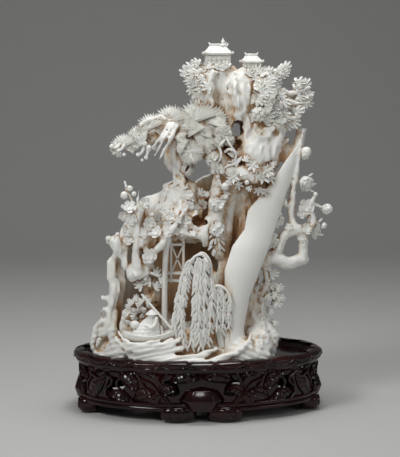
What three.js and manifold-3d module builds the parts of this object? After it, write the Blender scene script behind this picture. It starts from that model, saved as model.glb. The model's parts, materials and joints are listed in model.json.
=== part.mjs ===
// An ivory landscape carving on its pierced hardwood stand.
// The carving is cut from one section of tusk: a mountain with two small pavilions, a leaning blade of bare
// tusk skin, a grotto with a boat and a willow, and pines, plum branches and rocks all round it.
// Millimetres, +Z up, +X to the viewer's right, -Y towards the viewer. The stand's feet are at z = 0.
import * as THREE from 'three';
import { mergeVertices } from 'three/addons/utils/BufferGeometryUtils.js';
import Module from 'manifold-3d';

const wasm = await Module();
wasm.setup();

// Driving dimensions
const STAND_WIDTH = 185;
const STAND_DEPTH = 112;
const STAND_HEIGHT = 43;
const STAND_WALL = 7;
const SEAT_HEIGHT = 40;
const SEAT_THICKNESS = 6;
const APRON_BOTTOM = 8;
const APRON_WINDOWS = 12;
const TUSK_WIDTH = 134;
const TUSK_DEPTH = 86;
const TUSK_X = -10;
const TUSK_WALL = 8;
const CARVING_TOP = 277;
const SEAT_GAP = 0.3;
const CARVING_BOTTOM = SEAT_HEIGHT + SEAT_GAP;
// The plum branch reaches further right than the stand, so the whole is moved left to centre its outline.
const CENTRING_X = -4;

const point = (x, y, z) => new THREE.Vector3(x, y, z);
const mix = THREE.MathUtils.lerp;
const turn = (degrees) => THREE.MathUtils.degToRad(degrees);

// Joining and cutting

function solid(geometry) {
  const bare = geometry.clone();
  bare.deleteAttribute('normal');
  bare.deleteAttribute('uv');
  const merged = mergeVertices(bare, 1e-4);
  return new wasm.Manifold(
    new wasm.Mesh({
      numProp: 3,
      vertProperties: new Float32Array(merged.attributes.position.array),
      triVerts: new Uint32Array(merged.index.array),
    }),
  );
}

function join(solids) {
  return solids.reduce((whole, next) => whole.add(next));
}

function geometryOf(manifold) {
  const mesh = manifold.getMesh();
  const geometry = new THREE.BufferGeometry();
  geometry.setAttribute('position', new THREE.BufferAttribute(mesh.vertProperties, 3));
  geometry.setIndex(new THREE.BufferAttribute(mesh.triVerts, 1));
  geometry.computeVertexNormals();
  return geometry;
}

function indexed(vertices, faces) {
  const geometry = new THREE.BufferGeometry().setFromPoints(vertices);
  geometry.setIndex(faces);
  return solid(geometry);
}

// Shapes that the carving and the stand share

// Closes a stack of rings, each counter-clockwise when seen from the next one.
function loft(rings) {
  const sides = rings[0].length;
  const faces = [];
  for (let i = 0; i + 1 < rings.length; i++) {
    for (let j = 0; j < sides; j++) {
      const a = i * sides + j;
      const b = i * sides + ((j + 1) % sides);
      faces.push(a, b, b + sides, a, b + sides, a + sides);
    }
  }
  const last = (rings.length - 1) * sides;
  for (let j = 1; j + 1 < sides; j++) {
    faces.push(0, j + 1, j, last, last + j, last + j + 1);
  }
  return indexed(rings.flat(), faces);
}

// An upright mass of rock. Each level gives its centre and half sizes; folds run down it as ridges.
function crag(levels, { sides = 10, folds = 0, depth = 0, twist = 0 } = {}) {
  const rings = levels.map(([z, x, y, halfWidth, halfDepth]) =>
    Array.from({ length: sides }, (_, j) => {
      const angle = (j / sides) * 2 * Math.PI;
      const ridge = 1 + depth * Math.cos(folds * angle + twist * z);
      return point(x + halfWidth * ridge * Math.cos(angle), y + halfDepth * ridge * Math.sin(angle), z);
    }),
  );
  return loft(rings);
}

// A branch, post or stem: a tapering tube through the points, with a radius at each.
function limb(points, radii, sides = 5) {
  const path = points.map((p) => point(...p));
  const rings = path.map((p, i) => {
    const ahead = path[Math.min(i + 1, path.length - 1)];
    const behind = path[Math.max(i - 1, 0)];
    const along = ahead.clone().sub(behind).normalize();
    const across = Math.abs(along.y) < 0.9 ? point(0, 1, 0) : point(1, 0, 0);
    const u = across.cross(along).normalize();
    const v = along.clone().cross(u);
    return Array.from({ length: sides }, (_, j) => {
      const angle = (j / sides) * 2 * Math.PI;
      return p
        .clone()
        .addScaledVector(u, radii[i] * Math.cos(angle))
        .addScaledVector(v, radii[i] * Math.sin(angle));
    });
  });
  return loft(rings);
}

// A lump of rock: a faceted ball squashed to its three half sizes.
function lump([x, y, z], [halfWidth, halfDepth, halfHeight], detail = 0) {
  const ball = new THREE.IcosahedronGeometry(1, detail);
  ball.scale(halfWidth, halfDepth, halfHeight);
  ball.translate(x, y, z);
  return solid(ball);
}

// A spray of needles, leaves or petals: a star-edged pad that tapers back to its root on the wood.
function spray([x, y, z, radius], root, { teeth = 6, inner = 0.7, swell = 0.3 } = {}) {
  const centre = point(x, y, z);
  const facing = centre.clone().sub(root).normalize();
  const spin = new THREE.Quaternion().setFromUnitVectors(point(0, 0, 1), facing);
  const rim = Array.from({ length: 2 * teeth }, (_, k) => {
    const reach = radius * (k % 2 ? inner : 1);
    const angle = ((k + 0.5) / teeth) * Math.PI;
    return point(reach * Math.cos(angle), reach * Math.sin(angle), 0).applyQuaternion(spin).add(centre);
  });
  const corners = [centre.clone().addScaledVector(facing, radius * swell), root.clone(), ...rim];
  const faces = rim.flatMap((_, k) => {
    const a = 2 + k;
    const b = 2 + ((k + 1) % rim.length);
    return [0, a, b, 1, b, a];
  });
  return indexed(corners, faces);
}

// The nearest place to a point on any of several branch lines.
function nearest(lines, p) {
  let best = null;
  for (const line of lines) {
    for (let i = 0; i + 1 < line.length; i++) {
      const piece = new THREE.Line3(point(...line[i]), point(...line[i + 1]));
      const place = piece.closestPointToPoint(p, true, point(0, 0, 0));
      if (!best || place.distanceTo(p) < best.distanceTo(p)) {
        best = place;
      }
    }
  }
  return best;
}

function spraysOn(lines, places, style) {
  return places.map(([x, y, z, radius]) => spray([x, y, z, radius], nearest(lines, point(x, y, z)), style));
}

// A round bud on a short neck that grows from the nearest branch.
function budsOn(lines, places) {
  return places.map(([x, y, z, radius]) => {
    const root = nearest(lines, point(x, y, z));
    const out = point(x, y, z).sub(root).normalize();
    const at = (reach) => point(x, y, z).addScaledVector(out, reach).toArray();
    return limb([root.toArray(), at(-radius * 0.3), at(radius)], [radius * 0.35, radius, radius * 0.4], 5);
  });
}

// The ivory carving

function ground() {
  return crag(
    [
      [CARVING_BOTTOM, TUSK_X, 0, 65, 41],
      [47, TUSK_X, 0, TUSK_WIDTH / 2 + 1, TUSK_DEPTH / 2],
      [56, TUSK_X + 1, 4, 63, 37],
    ],
    { sides: 16, folds: 5, depth: 0.02 },
  );
}

// The tusk leans right and narrows as it rises.
function tuskAt(z, angle, inset) {
  const rise = Math.max(0, z - 45) / 150;
  const centreX = TUSK_X + 18 * rise ** 1.3;
  const halfWidth = TUSK_WIDTH / 2 - 4 - 8 * rise - inset;
  const halfDepth = TUSK_DEPTH / 2 - 6 * rise - inset;
  return point(centreX + halfWidth * Math.cos(angle), halfDepth * Math.sin(angle), z);
}

// What is left of the tusk's wall round the back: low at the left, high behind the mountain.
function tuskWall() {
  const steps = 10;
  const rows = 2;
  const tops = [186, 196, 190, 172, 164, 161, 156, 146, 132, 120, 96];
  const [start, end] = [turn(36), turn(202)];
  const topAt = (share) => {
    const place = share * (tops.length - 1);
    const k = Math.min(Math.floor(place), tops.length - 2);
    return mix(tops[k], tops[k + 1], place - k);
  };
  const rings = Array.from({ length: steps + 1 }, (_, i) => {
    const share = i / steps;
    const angle = mix(start, end, share);
    const levels = Array.from({ length: rows + 1 }, (_, k) => mix(46, topAt(share), k / rows));
    const inside = levels.map((z) => tuskAt(z, angle, TUSK_WALL));
    const outside = levels.map((z) => tuskAt(z, angle, i % 2 ? 0 : 2));
    return [...inside, ...outside.reverse()];
  });
  return loft(rings);
}

// The leaning blade of bare, smooth tusk skin. Each level gives z, left edge, right edge and front depth.
function blade() {
  const levels = [
    [46, 20, 37, -38],
    [66, 18, 37, -37],
    [88, 16, 41, -36],
    [108, 17, 45, -34],
    [124, 22, 49, -31],
    [136, 32, 53, -28],
    [150, 37, 58, -25],
    [165, 49, 63, -22],
    [184, 62, 70, -18],
    [197, 71, 75, -14],
    [208, 76, 77.4, -10],
  ];
  const rings = levels.map(([z, left, right, front], i) => {
    const width = right - left;
    const thick = mix(9, 3, i / levels.length);
    const bulge = 0.16 * width;
    return [
      point(left, front + 2, z),
      point(left + 0.5 * width, front - bulge, z),
      point(right, front + 4, z),
      point(left + 0.75 * width, front + thick, z),
      point(left + 0.2 * width, front + thick * 0.9, z),
    ];
  });
  return loft(rings);
}

// The folded rock above the grotto, pierced by a cave, with a hanging tip between two dark clefts.
function mountain() {
  const root = crag(
    [
      [50, 36, 0, 18, 24],
      [110, 31, 4, 11, 22],
      [176, 36, 4, 20, 20],
    ],
    { sides: 8 },
  );
  const mass = crag(
    [
      [168, 36, 4, 20, 20],
      [190, 36, 0, 25, 22],
      [210, 34, 0, 28, 22],
      [230, 31, 0, 30, 20],
      [246, 29, 0, 29, 18],
      [253, 27, 0, 24, 13],
    ],
    { sides: 14, folds: 5, depth: 0.07, twist: 0.02 },
  );
  const hangingTip = crag(
    [
      [210, 25, -18, 2, 2],
      [222, 25, -19, 6, 5],
      [247, 27, -12, 10, 8],
    ],
    { sides: 6 },
  );
  const drape = crag(
    [
      [176, 42, -14, 14, 9],
      [190, 42, -17, 16, 10],
      [206, 48, -14, 12, 8],
    ],
    { sides: 7 },
  );
  const cave = limb(
    [
      [27, -40, 209],
      [27, 40, 201],
    ],
    [7, 6],
    6,
  );
  const skinToBlade = limb([[50, -4, 196], [73, -12, 194]], [8, 4.5], 4);
  return join([root, mass, drape, hangingTip, skinToBlade]).subtract(cave);
}

// A small hall on the summit: a box with a hipped roof whose corners turn up.
function summitHall([x, y, z], halfWidth, halfDepth, wallHeight, roofHeight) {
  const walls = new THREE.BoxGeometry(2 * halfWidth, 2 * halfDepth, wallHeight + 2);
  walls.translate(x, y, z + wallHeight / 2);
  const eaves = z + wallHeight;
  const outline = [[-1, -1], [0, -0.94], [1, -1], [1, 1], [0, 0.94], [-1, 1]];
  const ring = (reach, height, lift) =>
    outline.map(([sx, sy]) =>
      point(x + sx * halfWidth * reach, y + sy * halfDepth * reach, height + (sx ? lift : 0)),
    );
  const roof = loft([
    ring(1.35, eaves - 0.6, 1.4),
    ring(1.3, eaves + 0.6, 1.4),
    ring(0.7, eaves + roofHeight * 0.5, 0),
    ring(0.42, eaves + roofHeight, 0),
  ]);
  return solid(walls).add(roof);
}

function pavilions() {
  const finial = crag(
    [
      [266, 18, -4, 1.4, 1.4],
      [272, 18, -4, 2.6, 1.6],
      [CARVING_TOP, 18, -4, 0.4, 0.4],
    ],
    { sides: 4 },
  );
  const terrace = crag(
    [
      [241, 4, -5, 7, 7],
      [251, 8, -5, 13, 11],
    ],
    { sides: 8 },
  );
  const tall = summitHall([16, -4, 250], 9, 7, 10, 8);
  const low = summitHall([40, -4, 247], 8.5, 6, 8, 6.5);
  return join([terrace, tall, low, finial]);
}

// The rock and bough that carry the old pine out to the left, down to its thin neck on the boulder.
const PINE_TRUNK = [
  [24, -2, 214],
  [8, -5, 208],
  [-12, -8, 202],
  [-30, -10, 203],
  [-42, -12, 206],
];
const PINE_BOUGH = [
  [-22, -9, 202],
  [-42, -13, 197],
  [-56, -14, 194],
];
const PINE_TOP = [
  [-8, -8, 204],
  [-20, -12, 212],
  [-45, -15, 212],
];

function pineRock() {
  const neck = crag(
    [
      [164, -14, -6, 8, 8],
      [174, -14, -7, 5, 5],
      [190, -14, -7, 12, 9],
      [203, -6, -6, 16, 11],
    ],
    { sides: 7 },
  );
  const shoulder = crag(
    [
      [184, 15, -5, 9, 10],
      [200, 9, -5, 14, 13],
      [226, 8, -4, 11, 11],
      [246, 14, -3, 9, 9],
    ],
    { sides: 7, folds: 3, depth: 0.06, twist: 0.03 },
  );
  return join([
    limb(PINE_TRUNK, [14, 15, 10, 6, 3.5], 6),
    limb(PINE_BOUGH, [4, 3, 2]),
    limb(PINE_TOP, [5, 4, 2.5]),
    neck,
    shoulder,
  ]);
}

function pineCrown() {
  const pads = [
    [-58, -19, 198, 10],
    [-49, -20, 210, 9],
    [-31, -21, 217, 12],
    [-35, -22, 200, 10],
    [-9, -21, 217, 12],
    [6, -23, 208, 9],
    [-10, -21, 194, 10],
    [-44, 0, 206, 11],
    [-16, 8, 212, 13],
  ];
  return spraysOn([PINE_TRUNK, PINE_BOUGH, PINE_TOP], pads, { teeth: 6, inner: 0.8 });
}

// Leafy boughs at the right and left of the summit.
const RIGHT_BOUGHS = [
  [
    [44, -4, 238],
    [62, -4, 233],
    [77, -5, 236],
  ],
  [
    [50, -6, 222],
    [64, -7, 218],
    [74, -8, 221],
  ],
  [
    [46, -2, 244],
    [60, -4, 249],
  ],
];
const SUMMIT_CORE = [
  [34, -6, 206],
  [34, -6, 244],
];
const LEFT_BOUGH = [
  [8, -5, 230],
  [3, -6, 244],
];

function rightCrown() {
  const sprays = [
    [60, -10, 250, 8],
    [51, -16, 239, 10],
    [72, -13, 240, 9],
    [82, -9, 233, 8],
    [57, -17, 225, 10],
    [73, -13, 222, 9],
    [43, -22, 218, 9],
    [60, -16, 212, 8],
    [-5, -10, 244, 9],
    [0, -13, 255, 9],
    [60, 8, 240, 10],
    [36, 20, 232, 12],
  ];
  const lines = [...RIGHT_BOUGHS, SUMMIT_CORE, LEFT_BOUGH];
  return [
    ...RIGHT_BOUGHS.map((line) => limb(line, line.length > 2 ? [5, 4, 1.5] : [4, 2])),
    ...spraysOn(lines, sprays, { teeth: 5, inner: 0.55, swell: 0.35 }),
  ];
}

// Needle tufts and flowers across the middle, in front of the mountain's foot.
const MIDDLE_BOUGH = [
  [8, -13, 204],
  [12, -16, 188],
  [26, -19, 179],
  [42, -19, 176],
  [56, -17, 180],
];

function middleCluster() {
  const tufts = [
    [9, -25, 206, 7],
    [5, -25, 191, 9],
    [20, -29, 184, 9],
    [38, -30, 181, 9],
    [53, -26, 180, 8],
    [38, -27, 166, 7],
    [21, -28, 169, 8],
  ];
  return [limb(MIDDLE_BOUGH, [6, 9, 10, 9, 5], 6), ...spraysOn([MIDDLE_BOUGH], tufts, { teeth: 5 })];
}

// The rounded, crumbling boulder at the left, joined to the wall behind it.
function boulder() {
  const front = crag(
    [
      [126, -13, -3, 18, 18],
      [134, -14, -5, 24, 22],
      [146, -14, -6, 24, 24],
      [160, -13, -6, 17, 19],
      [172, -14, -7, 7, 7],
    ],
    { sides: 12, folds: 4, depth: 0.06, twist: 0.08 },
  );
  return front.add(lump([-14, 18, 146], [26, 26, 18]));
}

// Rocks down the carving's left edge, and the rib of wall that they lean on.
function leftRocks() {
  const rib = limb(
    [
      [-64, -25, 50],
      [-64, -22, 80],
      [-64, -14, 106],
      [-58, -13, 128],
    ],
    [8, 6, 5, 5],
    6,
  );
  return [
    rib,
    lump([-57, -16, 134], [11, 9, 9]),
    lump([-70, -16, 85], [8, 8, 8]),
    lump([-73, -16, 62], [8, 9, 14]),
    lump([-48, -26, 112], [10, 9, 10]),
    lump([-38, -21, 130], [14, 10, 10]),
  ];
}

// Branches of flowering plum at the left, rising from a knot of root.
const LEFT_STEM = [
  [-47, -29, 108],
  [-43, -31, 134],
  [-41, -30, 156],
  [-40, -30, 169],
];
const OUTER_STEM = [
  [-50, -27, 118],
  [-54, -25, 136],
  [-51, -27, 154],
  [-55, -28, 173],
];
const UPPER_RAIL = [
  [-30, -26, 130],
  [-14, -25, 136],
  [5, -20, 135],
];

function leftPlum() {
  return [
    limb(LEFT_STEM, [5, 3, 2, 0.8]),
    limb(OUTER_STEM, [4, 3.6, 2.4, 0.8]),
    limb(UPPER_RAIL, [4, 2.6, 3]),
    limb([[-32, -28, 126], [-12, -27, 130], [6, -22, 129]], [3, 2.4, 3]),
    limb([[-27, -29, 138], [-27, -31, 124], [-44, -30, 120]], [4, 5, 3]),
  ];
}

// The flowering column beside the grotto: a trunk with a cut stub hanging below, and the rib beside it.
const COLUMN_TRUNK = [
  [20, -13, 180],
  [10, -17, 160],
  [7, -19, 140],
  [8, -19, 115],
];

function flowerColumn() {
  const rib = limb(
    [
      [26, -12, 178],
      [19, -17, 144],
      [13, -24, 104],
      [15, -27, 50],
    ],
    [6, 5, 5, 8],
  );
  const heads = [
    [3, -27, 158, 8],
    [4, -29, 142, 9],
  ];
  const trunk = limb(COLUMN_TRUNK, [9, 8, 8, 3.5], 6);
  return [trunk, rib, ...spraysOn([COLUMN_TRUNK], heads, { teeth: 5, inner: 0.8 })];
}

// The plum tree that grows out of the blade's right side, bends back on itself and climbs to a thorn.
const PLUM_BOUGH = [
  [34, -18, 112],
  [56, -16, 110],
  [75, -12, 110],
  [81, -12, 123],
  [77, -13, 138],
];
const PLUM_FORK = [
  [48, -17, 111],
  [61, -13, 121],
  [68, -13, 134],
  [79, -13, 138],
];
const PLUM_STEM = [
  [69, -13, 134],
  [67, -14, 152],
  [68, -14, 172],
  [73, -13, 192],
  [78, -10, 215],
];
const BUD_STALK = [
  [76, -13, 146],
  [88, -12, 154],
];
const CROWN_STALK = [
  [77, -13, 134],
  [80, -14, 152],
];

function rightPlum() {
  return [
    limb(PLUM_BOUGH, [5, 6, 6, 5, 4.5]),
    limb(PLUM_FORK, [5, 5, 5, 4]),
    limb(PLUM_STEM, [4.5, 3.4, 3, 2.4, 0.6], 4),
    limb([[58, -17, 172], [68, -14, 166]], [2.4, 1.8], 4),
    limb(BUD_STALK, [3, 1.6], 4),
    limb(CROWN_STALK, [4, 3], 4),
  ];
}

function plumFlowers() {
  const rightLines = [PLUM_BOUGH, PLUM_FORK, PLUM_STEM, BUD_STALK, CROWN_STALK];
  const leftLines = [LEFT_STEM, OUTER_STEM, UPPER_RAIL];
  const buds = budsOn(rightLines, [
    [81, -14, 193, 4.5],
    [79, -16, 170, 6],
    [94.5, -12, 152, 5.5],
  ]);
  const openRight = [
    [78, -21, 149, 8],
    [88, -17, 136, 7],
    [60, -20, 144, 6],
    [58, -22, 131, 6],
  ];
  const openLeft = [
    [-58, -31, 164, 7],
    [-60, -30, 144, 7],
    [-38, -36, 126, 7],
    [-14, -32, 145, 7],
  ];
  const petals = { teeth: 5, inner: 0.75, swell: 0.35 };
  return [...buds, ...spraysOn(rightLines, openRight, petals), ...spraysOn(leftLines, openLeft, petals)];
}

// The stilt house in the grotto: a post, a cross-braced window and its sill.
function stiltHouse() {
  const bar = (from, to, radius) => limb([from, to], [radius, radius], 4);
  const [left, right, foot, head, y] = [-24, -11, 105, 128, -21];
  return [
    bar([-28, -26, 54], [-26, -28, 130], 2.6),
    bar([right, y, 54], [right, y, head + 2], 1.5),
    bar([left - 3, y, foot], [right + 1, y, foot], 1.4),
    bar([left, y, foot], [right, y, head], 1),
    bar([right, y, foot], [left, y, head], 1),
    bar([left, y, 54], [left, y, head + 2], 1.4),
  ];
}

// A hanging willow frond: a stem whose leaf tiers swell and narrow on the way down.
function frond([x, y, top, length, width]) {
  const stations = 2 * Math.max(2, Math.round(length / 18)) + 1;
  const path = Array.from({ length: stations }, (_, i) => {
    const share = i / (stations - 1);
    return [x + 2 * Math.sin(3 * share + x), y - 2 * Math.sin(Math.PI * share), top - length * share];
  });
  const radii = path.map((_, i) => (i % 2 ? 1 : 0.55) * width * mix(1, 0.6, i / (stations - 1)));
  return limb(path, radii, 4);
}

function willow() {
  const trunk = limb(
    [
      [21, -34, 52],
      [15, -34, 90],
      [8, -35, 115],
      [-4, -36, 118],
      [-20, -37, 104],
    ],
    [4, 3.4, 3, 3, 2],
    4,
  );
  const fronds = [
    [-20, -38, 107, 46, 4],
    [-11, -40, 114, 58, 4.4],
    [-1, -39, 116, 62, 4.6],
    [8, -40, 112, 54, 4.4],
    [17, -39, 90, 34, 4.2],
  ];
  return [trunk, ...fronds.map(frond)];
}

// The boat under the willow: a hull with raised ends, a mat awning, the boatman in his hat, and the pole.
function boat() {
  const stations = 5;
  const rings = Array.from({ length: stations }, (_, i) => {
    const share = i / (stations - 1);
    const x = mix(-57, -5, share);
    const y = -36;
    const beam = mix(1.5, 7, Math.sin(Math.PI * share));
    const rise = 7 * (2 * share - 1) ** 2;
    return [
      point(x, y + beam * 0.5, 51 + rise),
      point(x, y + beam, 60 + rise),
      point(x, y - beam, 60 + rise),
      point(x, y - beam * 0.5, 51 + rise),
    ];
  });
  return [
    loft(rings),
    limb([[-52, -36, 61], [-38, -36, 62]], [6.5, 6.5], 6),
    crag([[56, -30, -36, 6, 5], [74, -31, -37, 2.5, 2.5]], { sides: 5 }),
    crag([[73, -31, -37, 2.4, 2.4], [76.5, -31, -37, 6, 6], [80.5, -31, -37, 0.8, 0.8]], { sides: 5 }),
    limb([[-42, -35, 88], [-4, -40, 60]], [1.1, 1.1], 4),
  ];
}

// Bushes and rocks on the ground: coral-like leaf masses and the bank behind the boat.
function groundPlanting() {
  const clump = [
    [-46, -22, 66],
    [-42, -22, 92],
  ];
  const leaves = [
    [-55, -31, 72, 8],
    [-49, -32, 87, 9],
  ];
  const rightBank = crag(
    [
      [44, 41, -16, 15, 18],
      [62, 42, -15, 13, 14],
      [82, 46, -13, 7, 8],
    ],
    { sides: 8, folds: 3, depth: 0.07 },
  );
  return [
    lump([-46, -22, 72], [14, 9, 22]),
    lump([-20, -12, 60], [28, 16, 11]),
    lump([-38, -22, 101], [10, 9, 9]),
    rightBank,
    ...spraysOn([clump], leaves, { teeth: 5 }),
    ...spraysOn([[[38, -28, 54], [40, -28, 70]]], [[36, -38, 60, 9]], { teeth: 5 }),
  ];
}

// The small pine by the right foot: a thin trunk clear of the blade, with flat sprays to the right.
const RIGHT_PINE = [
  [50, -14, 60],
  [51, -14, 80],
  [49, -16, 112],
];

function rightPine() {
  const sprays = [
    [57, -19, 104, 7],
    [60, -18, 93, 7],
    [58, -18, 83, 6],
  ];
  return [
    limb(RIGHT_PINE, [6, 3.4, 3.4]),
    limb([[38, -17, 97], [51, -14, 88]], [3, 2], 4),
    ...spraysOn([RIGHT_PINE], sprays, { teeth: 5, inner: 0.6 }),
  ];
}

// The back: pine pads and a few rock ledges against the tusk's skin, plainer than the front.
const BACK_TRUNK = [
  [16, 39, 52],
  [6, 40, 82],
  [-20, 36, 120],
];
const BACK_BOUGH = [
  [4, 40, 86],
  [24, 35, 136],
];

function backRelief() {
  const pads = [
    [-32, 42, 110, 14],
    [-8, 42, 134, 12],
    [26, 41, 134, 14],
    [-10, 44, 90, 11],
  ];
  return [
    limb(BACK_TRUNK, [6, 5, 4]),
    limb(BACK_BOUGH, [5, 4]),
    lump([-34, 30, 58], [20, 12, 14]),
    lump([38, 20, 62], [14, 14, 18]),
    ...spraysOn([BACK_TRUNK, BACK_BOUGH], pads, { inner: 0.8, swell: 0.2 }),
  ];
}

function ivoryLandscape() {
  return join([
    ground(),
    tuskWall(),
    blade(),
    mountain(),
    pavilions(),
    pineRock(),
    boulder(),
    ...pineCrown(),
    ...rightCrown(),
    ...middleCluster(),
    ...leftRocks(),
    ...leftPlum(),
    ...flowerColumn(),
    ...rightPlum(),
    ...plumFlowers(),
    ...stiltHouse(),
    ...willow(),
    ...boat(),
    ...groundPlanting(),
    ...rightPine(),
    ...backRelief(),
  ]);
}

// The hardwood stand

// A point of the stand's oval outline, moved in by an inset.
function ovalPoint(angle, inset, z) {
  return point((STAND_WIDTH / 2 - inset) * Math.cos(angle), (STAND_DEPTH / 2 - inset) * Math.sin(angle), z);
}

function ovalBlock(levels, sides = 32) {
  const ring = ([z, inset]) =>
    Array.from({ length: sides }, (_, j) => ovalPoint((j / sides) * 2 * Math.PI, inset, z));
  return loft(levels.map(ring));
}

// The tray: apron wall, seat board and raised rim, hollow underneath.
function tray() {
  const outside = ovalBlock([
    [APRON_BOTTOM, 3],
    [APRON_BOTTOM + 5, 1.5],
    [STAND_HEIGHT - 3, 0],
    [STAND_HEIGHT, 1.5],
  ]);
  const hollow = ovalBlock([
    [APRON_BOTTOM - 1, STAND_WALL + 3],
    [SEAT_HEIGHT - SEAT_THICKNESS, STAND_WALL + 3],
  ]);
  const seat = ovalBlock([
    [SEAT_HEIGHT, 8],
    [STAND_HEIGHT + 1, 6],
  ]);
  return outside.subtract(hollow).subtract(seat);
}

// The pierced windows between the carved stems, as slanting slots through the apron.
function windows() {
  return Array.from({ length: APRON_WINDOWS }, (_, k) => {
    const angle = ((k + 0.5) / APRON_WINDOWS) * 2 * Math.PI;
    const slot = new THREE.CylinderGeometry(5.2, 5.2, 3 * STAND_WALL, 4);
    slot.scale(1.5, 1, 1.1);
    slot.rotateY(turn(k % 2 ? 20 : -20));
    slot.rotateZ(angle + Math.PI / 2);
    const place = ovalPoint(angle, STAND_WALL / 2, 24);
    slot.translate(place.x, place.y, place.z);
    return solid(slot);
  });
}

// Leaves in relief on the apron between the windows, where no foot stands.
function standLeaves() {
  const places = Array.from({ length: APRON_WINDOWS }, (_, k) => k).filter((k) => k % 3 !== 0);
  return places.map((k) => {
    const angle = (k / APRON_WINDOWS) * 2 * Math.PI;
    const place = ovalPoint(angle, 0.6, k % 2 ? 28 : 22);
    const root = ovalPoint(angle, 5, k % 2 ? 28 : 22);
    return spray([...place.toArray(), 9], root, { teeth: 4, inner: 0.65, swell: 0.22 });
  });
}

// A scroll foot: a rounded knee on the apron above two curled toes that rest on flat pads.
function foot(angle) {
  const wide = Math.abs(Math.sin(angle)) > 0.7;
  const across = wide ? point(1, 0, 0) : point(0, 1, 0);
  const middle = ovalPoint(angle, wide ? 8.5 : 10, 0);
  const toe = (side) => {
    const { x, y } = middle.clone().addScaledVector(across, (wide ? 17 : 12) * side);
    const [halfWidth, halfDepth] = wide ? [13, 8] : [8, 10];
    return crag(
      [
        [0, x, y, halfWidth * 0.8, halfDepth * 0.8],
        [4, x, y, halfWidth, halfDepth],
        [13, x, y, halfWidth * 0.8, halfDepth * 0.8],
      ],
      { sides: 7 },
    );
  };
  const { x, y } = ovalPoint(angle, wide ? 4 : 7, 0);
  const [halfWidth, halfDepth] = wide ? [17, 8] : [8, 17];
  const knee = crag(
    [
      [8, x, y, halfWidth * 0.6, halfDepth * 0.6],
      [18, x, y, halfWidth, halfDepth],
      [28, x, y, halfWidth * 0.6, halfDepth * 0.6],
    ],
    { sides: 8 },
  );
  return join([toe(-1), toe(1), knee]);
}

function carvedStand() {
  const pierced = windows().reduce((whole, slot) => whole.subtract(slot), tray());
  const feet = [-90, 0, 90, 180].map((degrees) => foot(turn(degrees)));
  return join([pierced, ...standLeaves(), ...feet]);
}

// The finished object

const ivory = new THREE.MeshStandardMaterial({ color: 0xe9e0cf, roughness: 0.45, metalness: 0 });
const rosewood = new THREE.MeshStandardMaterial({ color: 0x2e1212, roughness: 0.28, metalness: 0 });

function mesh(name, manifold, material) {
  const made = new THREE.Mesh(geometryOf(manifold), material);
  made.name = name;
  return made;
}

const landscape = new THREE.Group();
landscape.position.x = CENTRING_X;
landscape.add(mesh('ivory_landscape', ivoryLandscape(), ivory));
landscape.add(mesh('carved_stand', carvedStand(), rosewood));

export default landscape;
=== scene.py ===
# %% [markdown]
# # An ivory landscape carving on its wooden stand
# The real object is one section of tusk, pierced and undercut into a mountain with pines, plum trees, two
# small halls, a grotto and a boat. It rests on an oval stand of dark polished rosewood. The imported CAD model
# is loaded first and never changed: it says where everything is, and the new pieces are made to fit it.

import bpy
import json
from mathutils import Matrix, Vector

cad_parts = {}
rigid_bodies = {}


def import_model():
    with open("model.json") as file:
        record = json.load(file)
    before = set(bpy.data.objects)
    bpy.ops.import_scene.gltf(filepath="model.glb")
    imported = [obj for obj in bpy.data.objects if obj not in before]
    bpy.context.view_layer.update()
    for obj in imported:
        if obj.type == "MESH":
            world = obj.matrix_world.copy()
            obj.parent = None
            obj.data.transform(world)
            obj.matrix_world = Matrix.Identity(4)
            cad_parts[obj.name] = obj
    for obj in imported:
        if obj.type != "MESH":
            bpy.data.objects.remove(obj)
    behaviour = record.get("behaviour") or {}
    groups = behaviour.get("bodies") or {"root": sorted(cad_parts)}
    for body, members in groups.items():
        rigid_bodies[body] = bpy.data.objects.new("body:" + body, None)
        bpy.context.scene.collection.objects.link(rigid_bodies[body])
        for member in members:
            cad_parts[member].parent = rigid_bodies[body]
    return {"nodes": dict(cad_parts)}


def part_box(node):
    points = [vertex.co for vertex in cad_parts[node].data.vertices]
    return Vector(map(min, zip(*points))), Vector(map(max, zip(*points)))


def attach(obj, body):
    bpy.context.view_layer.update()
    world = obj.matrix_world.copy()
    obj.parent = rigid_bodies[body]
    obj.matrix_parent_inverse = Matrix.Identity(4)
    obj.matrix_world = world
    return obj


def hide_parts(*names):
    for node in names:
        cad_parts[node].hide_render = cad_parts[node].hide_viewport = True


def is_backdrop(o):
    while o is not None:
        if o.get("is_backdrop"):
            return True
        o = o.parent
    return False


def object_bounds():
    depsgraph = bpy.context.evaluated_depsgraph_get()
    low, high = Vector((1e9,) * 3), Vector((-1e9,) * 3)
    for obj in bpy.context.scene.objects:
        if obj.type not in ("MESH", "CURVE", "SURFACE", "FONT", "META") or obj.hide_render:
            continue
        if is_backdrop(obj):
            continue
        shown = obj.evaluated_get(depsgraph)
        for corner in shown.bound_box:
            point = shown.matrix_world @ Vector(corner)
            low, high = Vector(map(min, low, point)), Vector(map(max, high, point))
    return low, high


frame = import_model()
cad_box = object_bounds()
print("CAD nodes:", sorted(frame["nodes"]))

# %% [markdown]
# Every place below is written in millimetres from the middle of the stand, as a maker would measure it, and
# `at` turns it into the frame's metres. x runs to the right, y away from the viewer and z up.

# %% Places and sizes
import bisect
import json
import math
import random

import bmesh
import bpy
from mathutils import Matrix, Vector, noise
from mathutils.bvhtree import BVHTree

MM = 0.001
stand_low, stand_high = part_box("carved_stand")
ivory_low, ivory_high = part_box("ivory_landscape")
STAND_X = (stand_low.x + stand_high.x) / 2
SEAT = ivory_low.z / MM
SUMMIT = ivory_high.z / MM
TOWARDS_VIEWER = Vector((0, -1, 0))
UP = Vector((0, 0, 1))


def at(x, y, z):
    return Vector((STAND_X + x * MM, y * MM, z * MM))


print(f"ivory from z = {SEAT:.1f} to {SUMMIT:.1f} mm")

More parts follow.
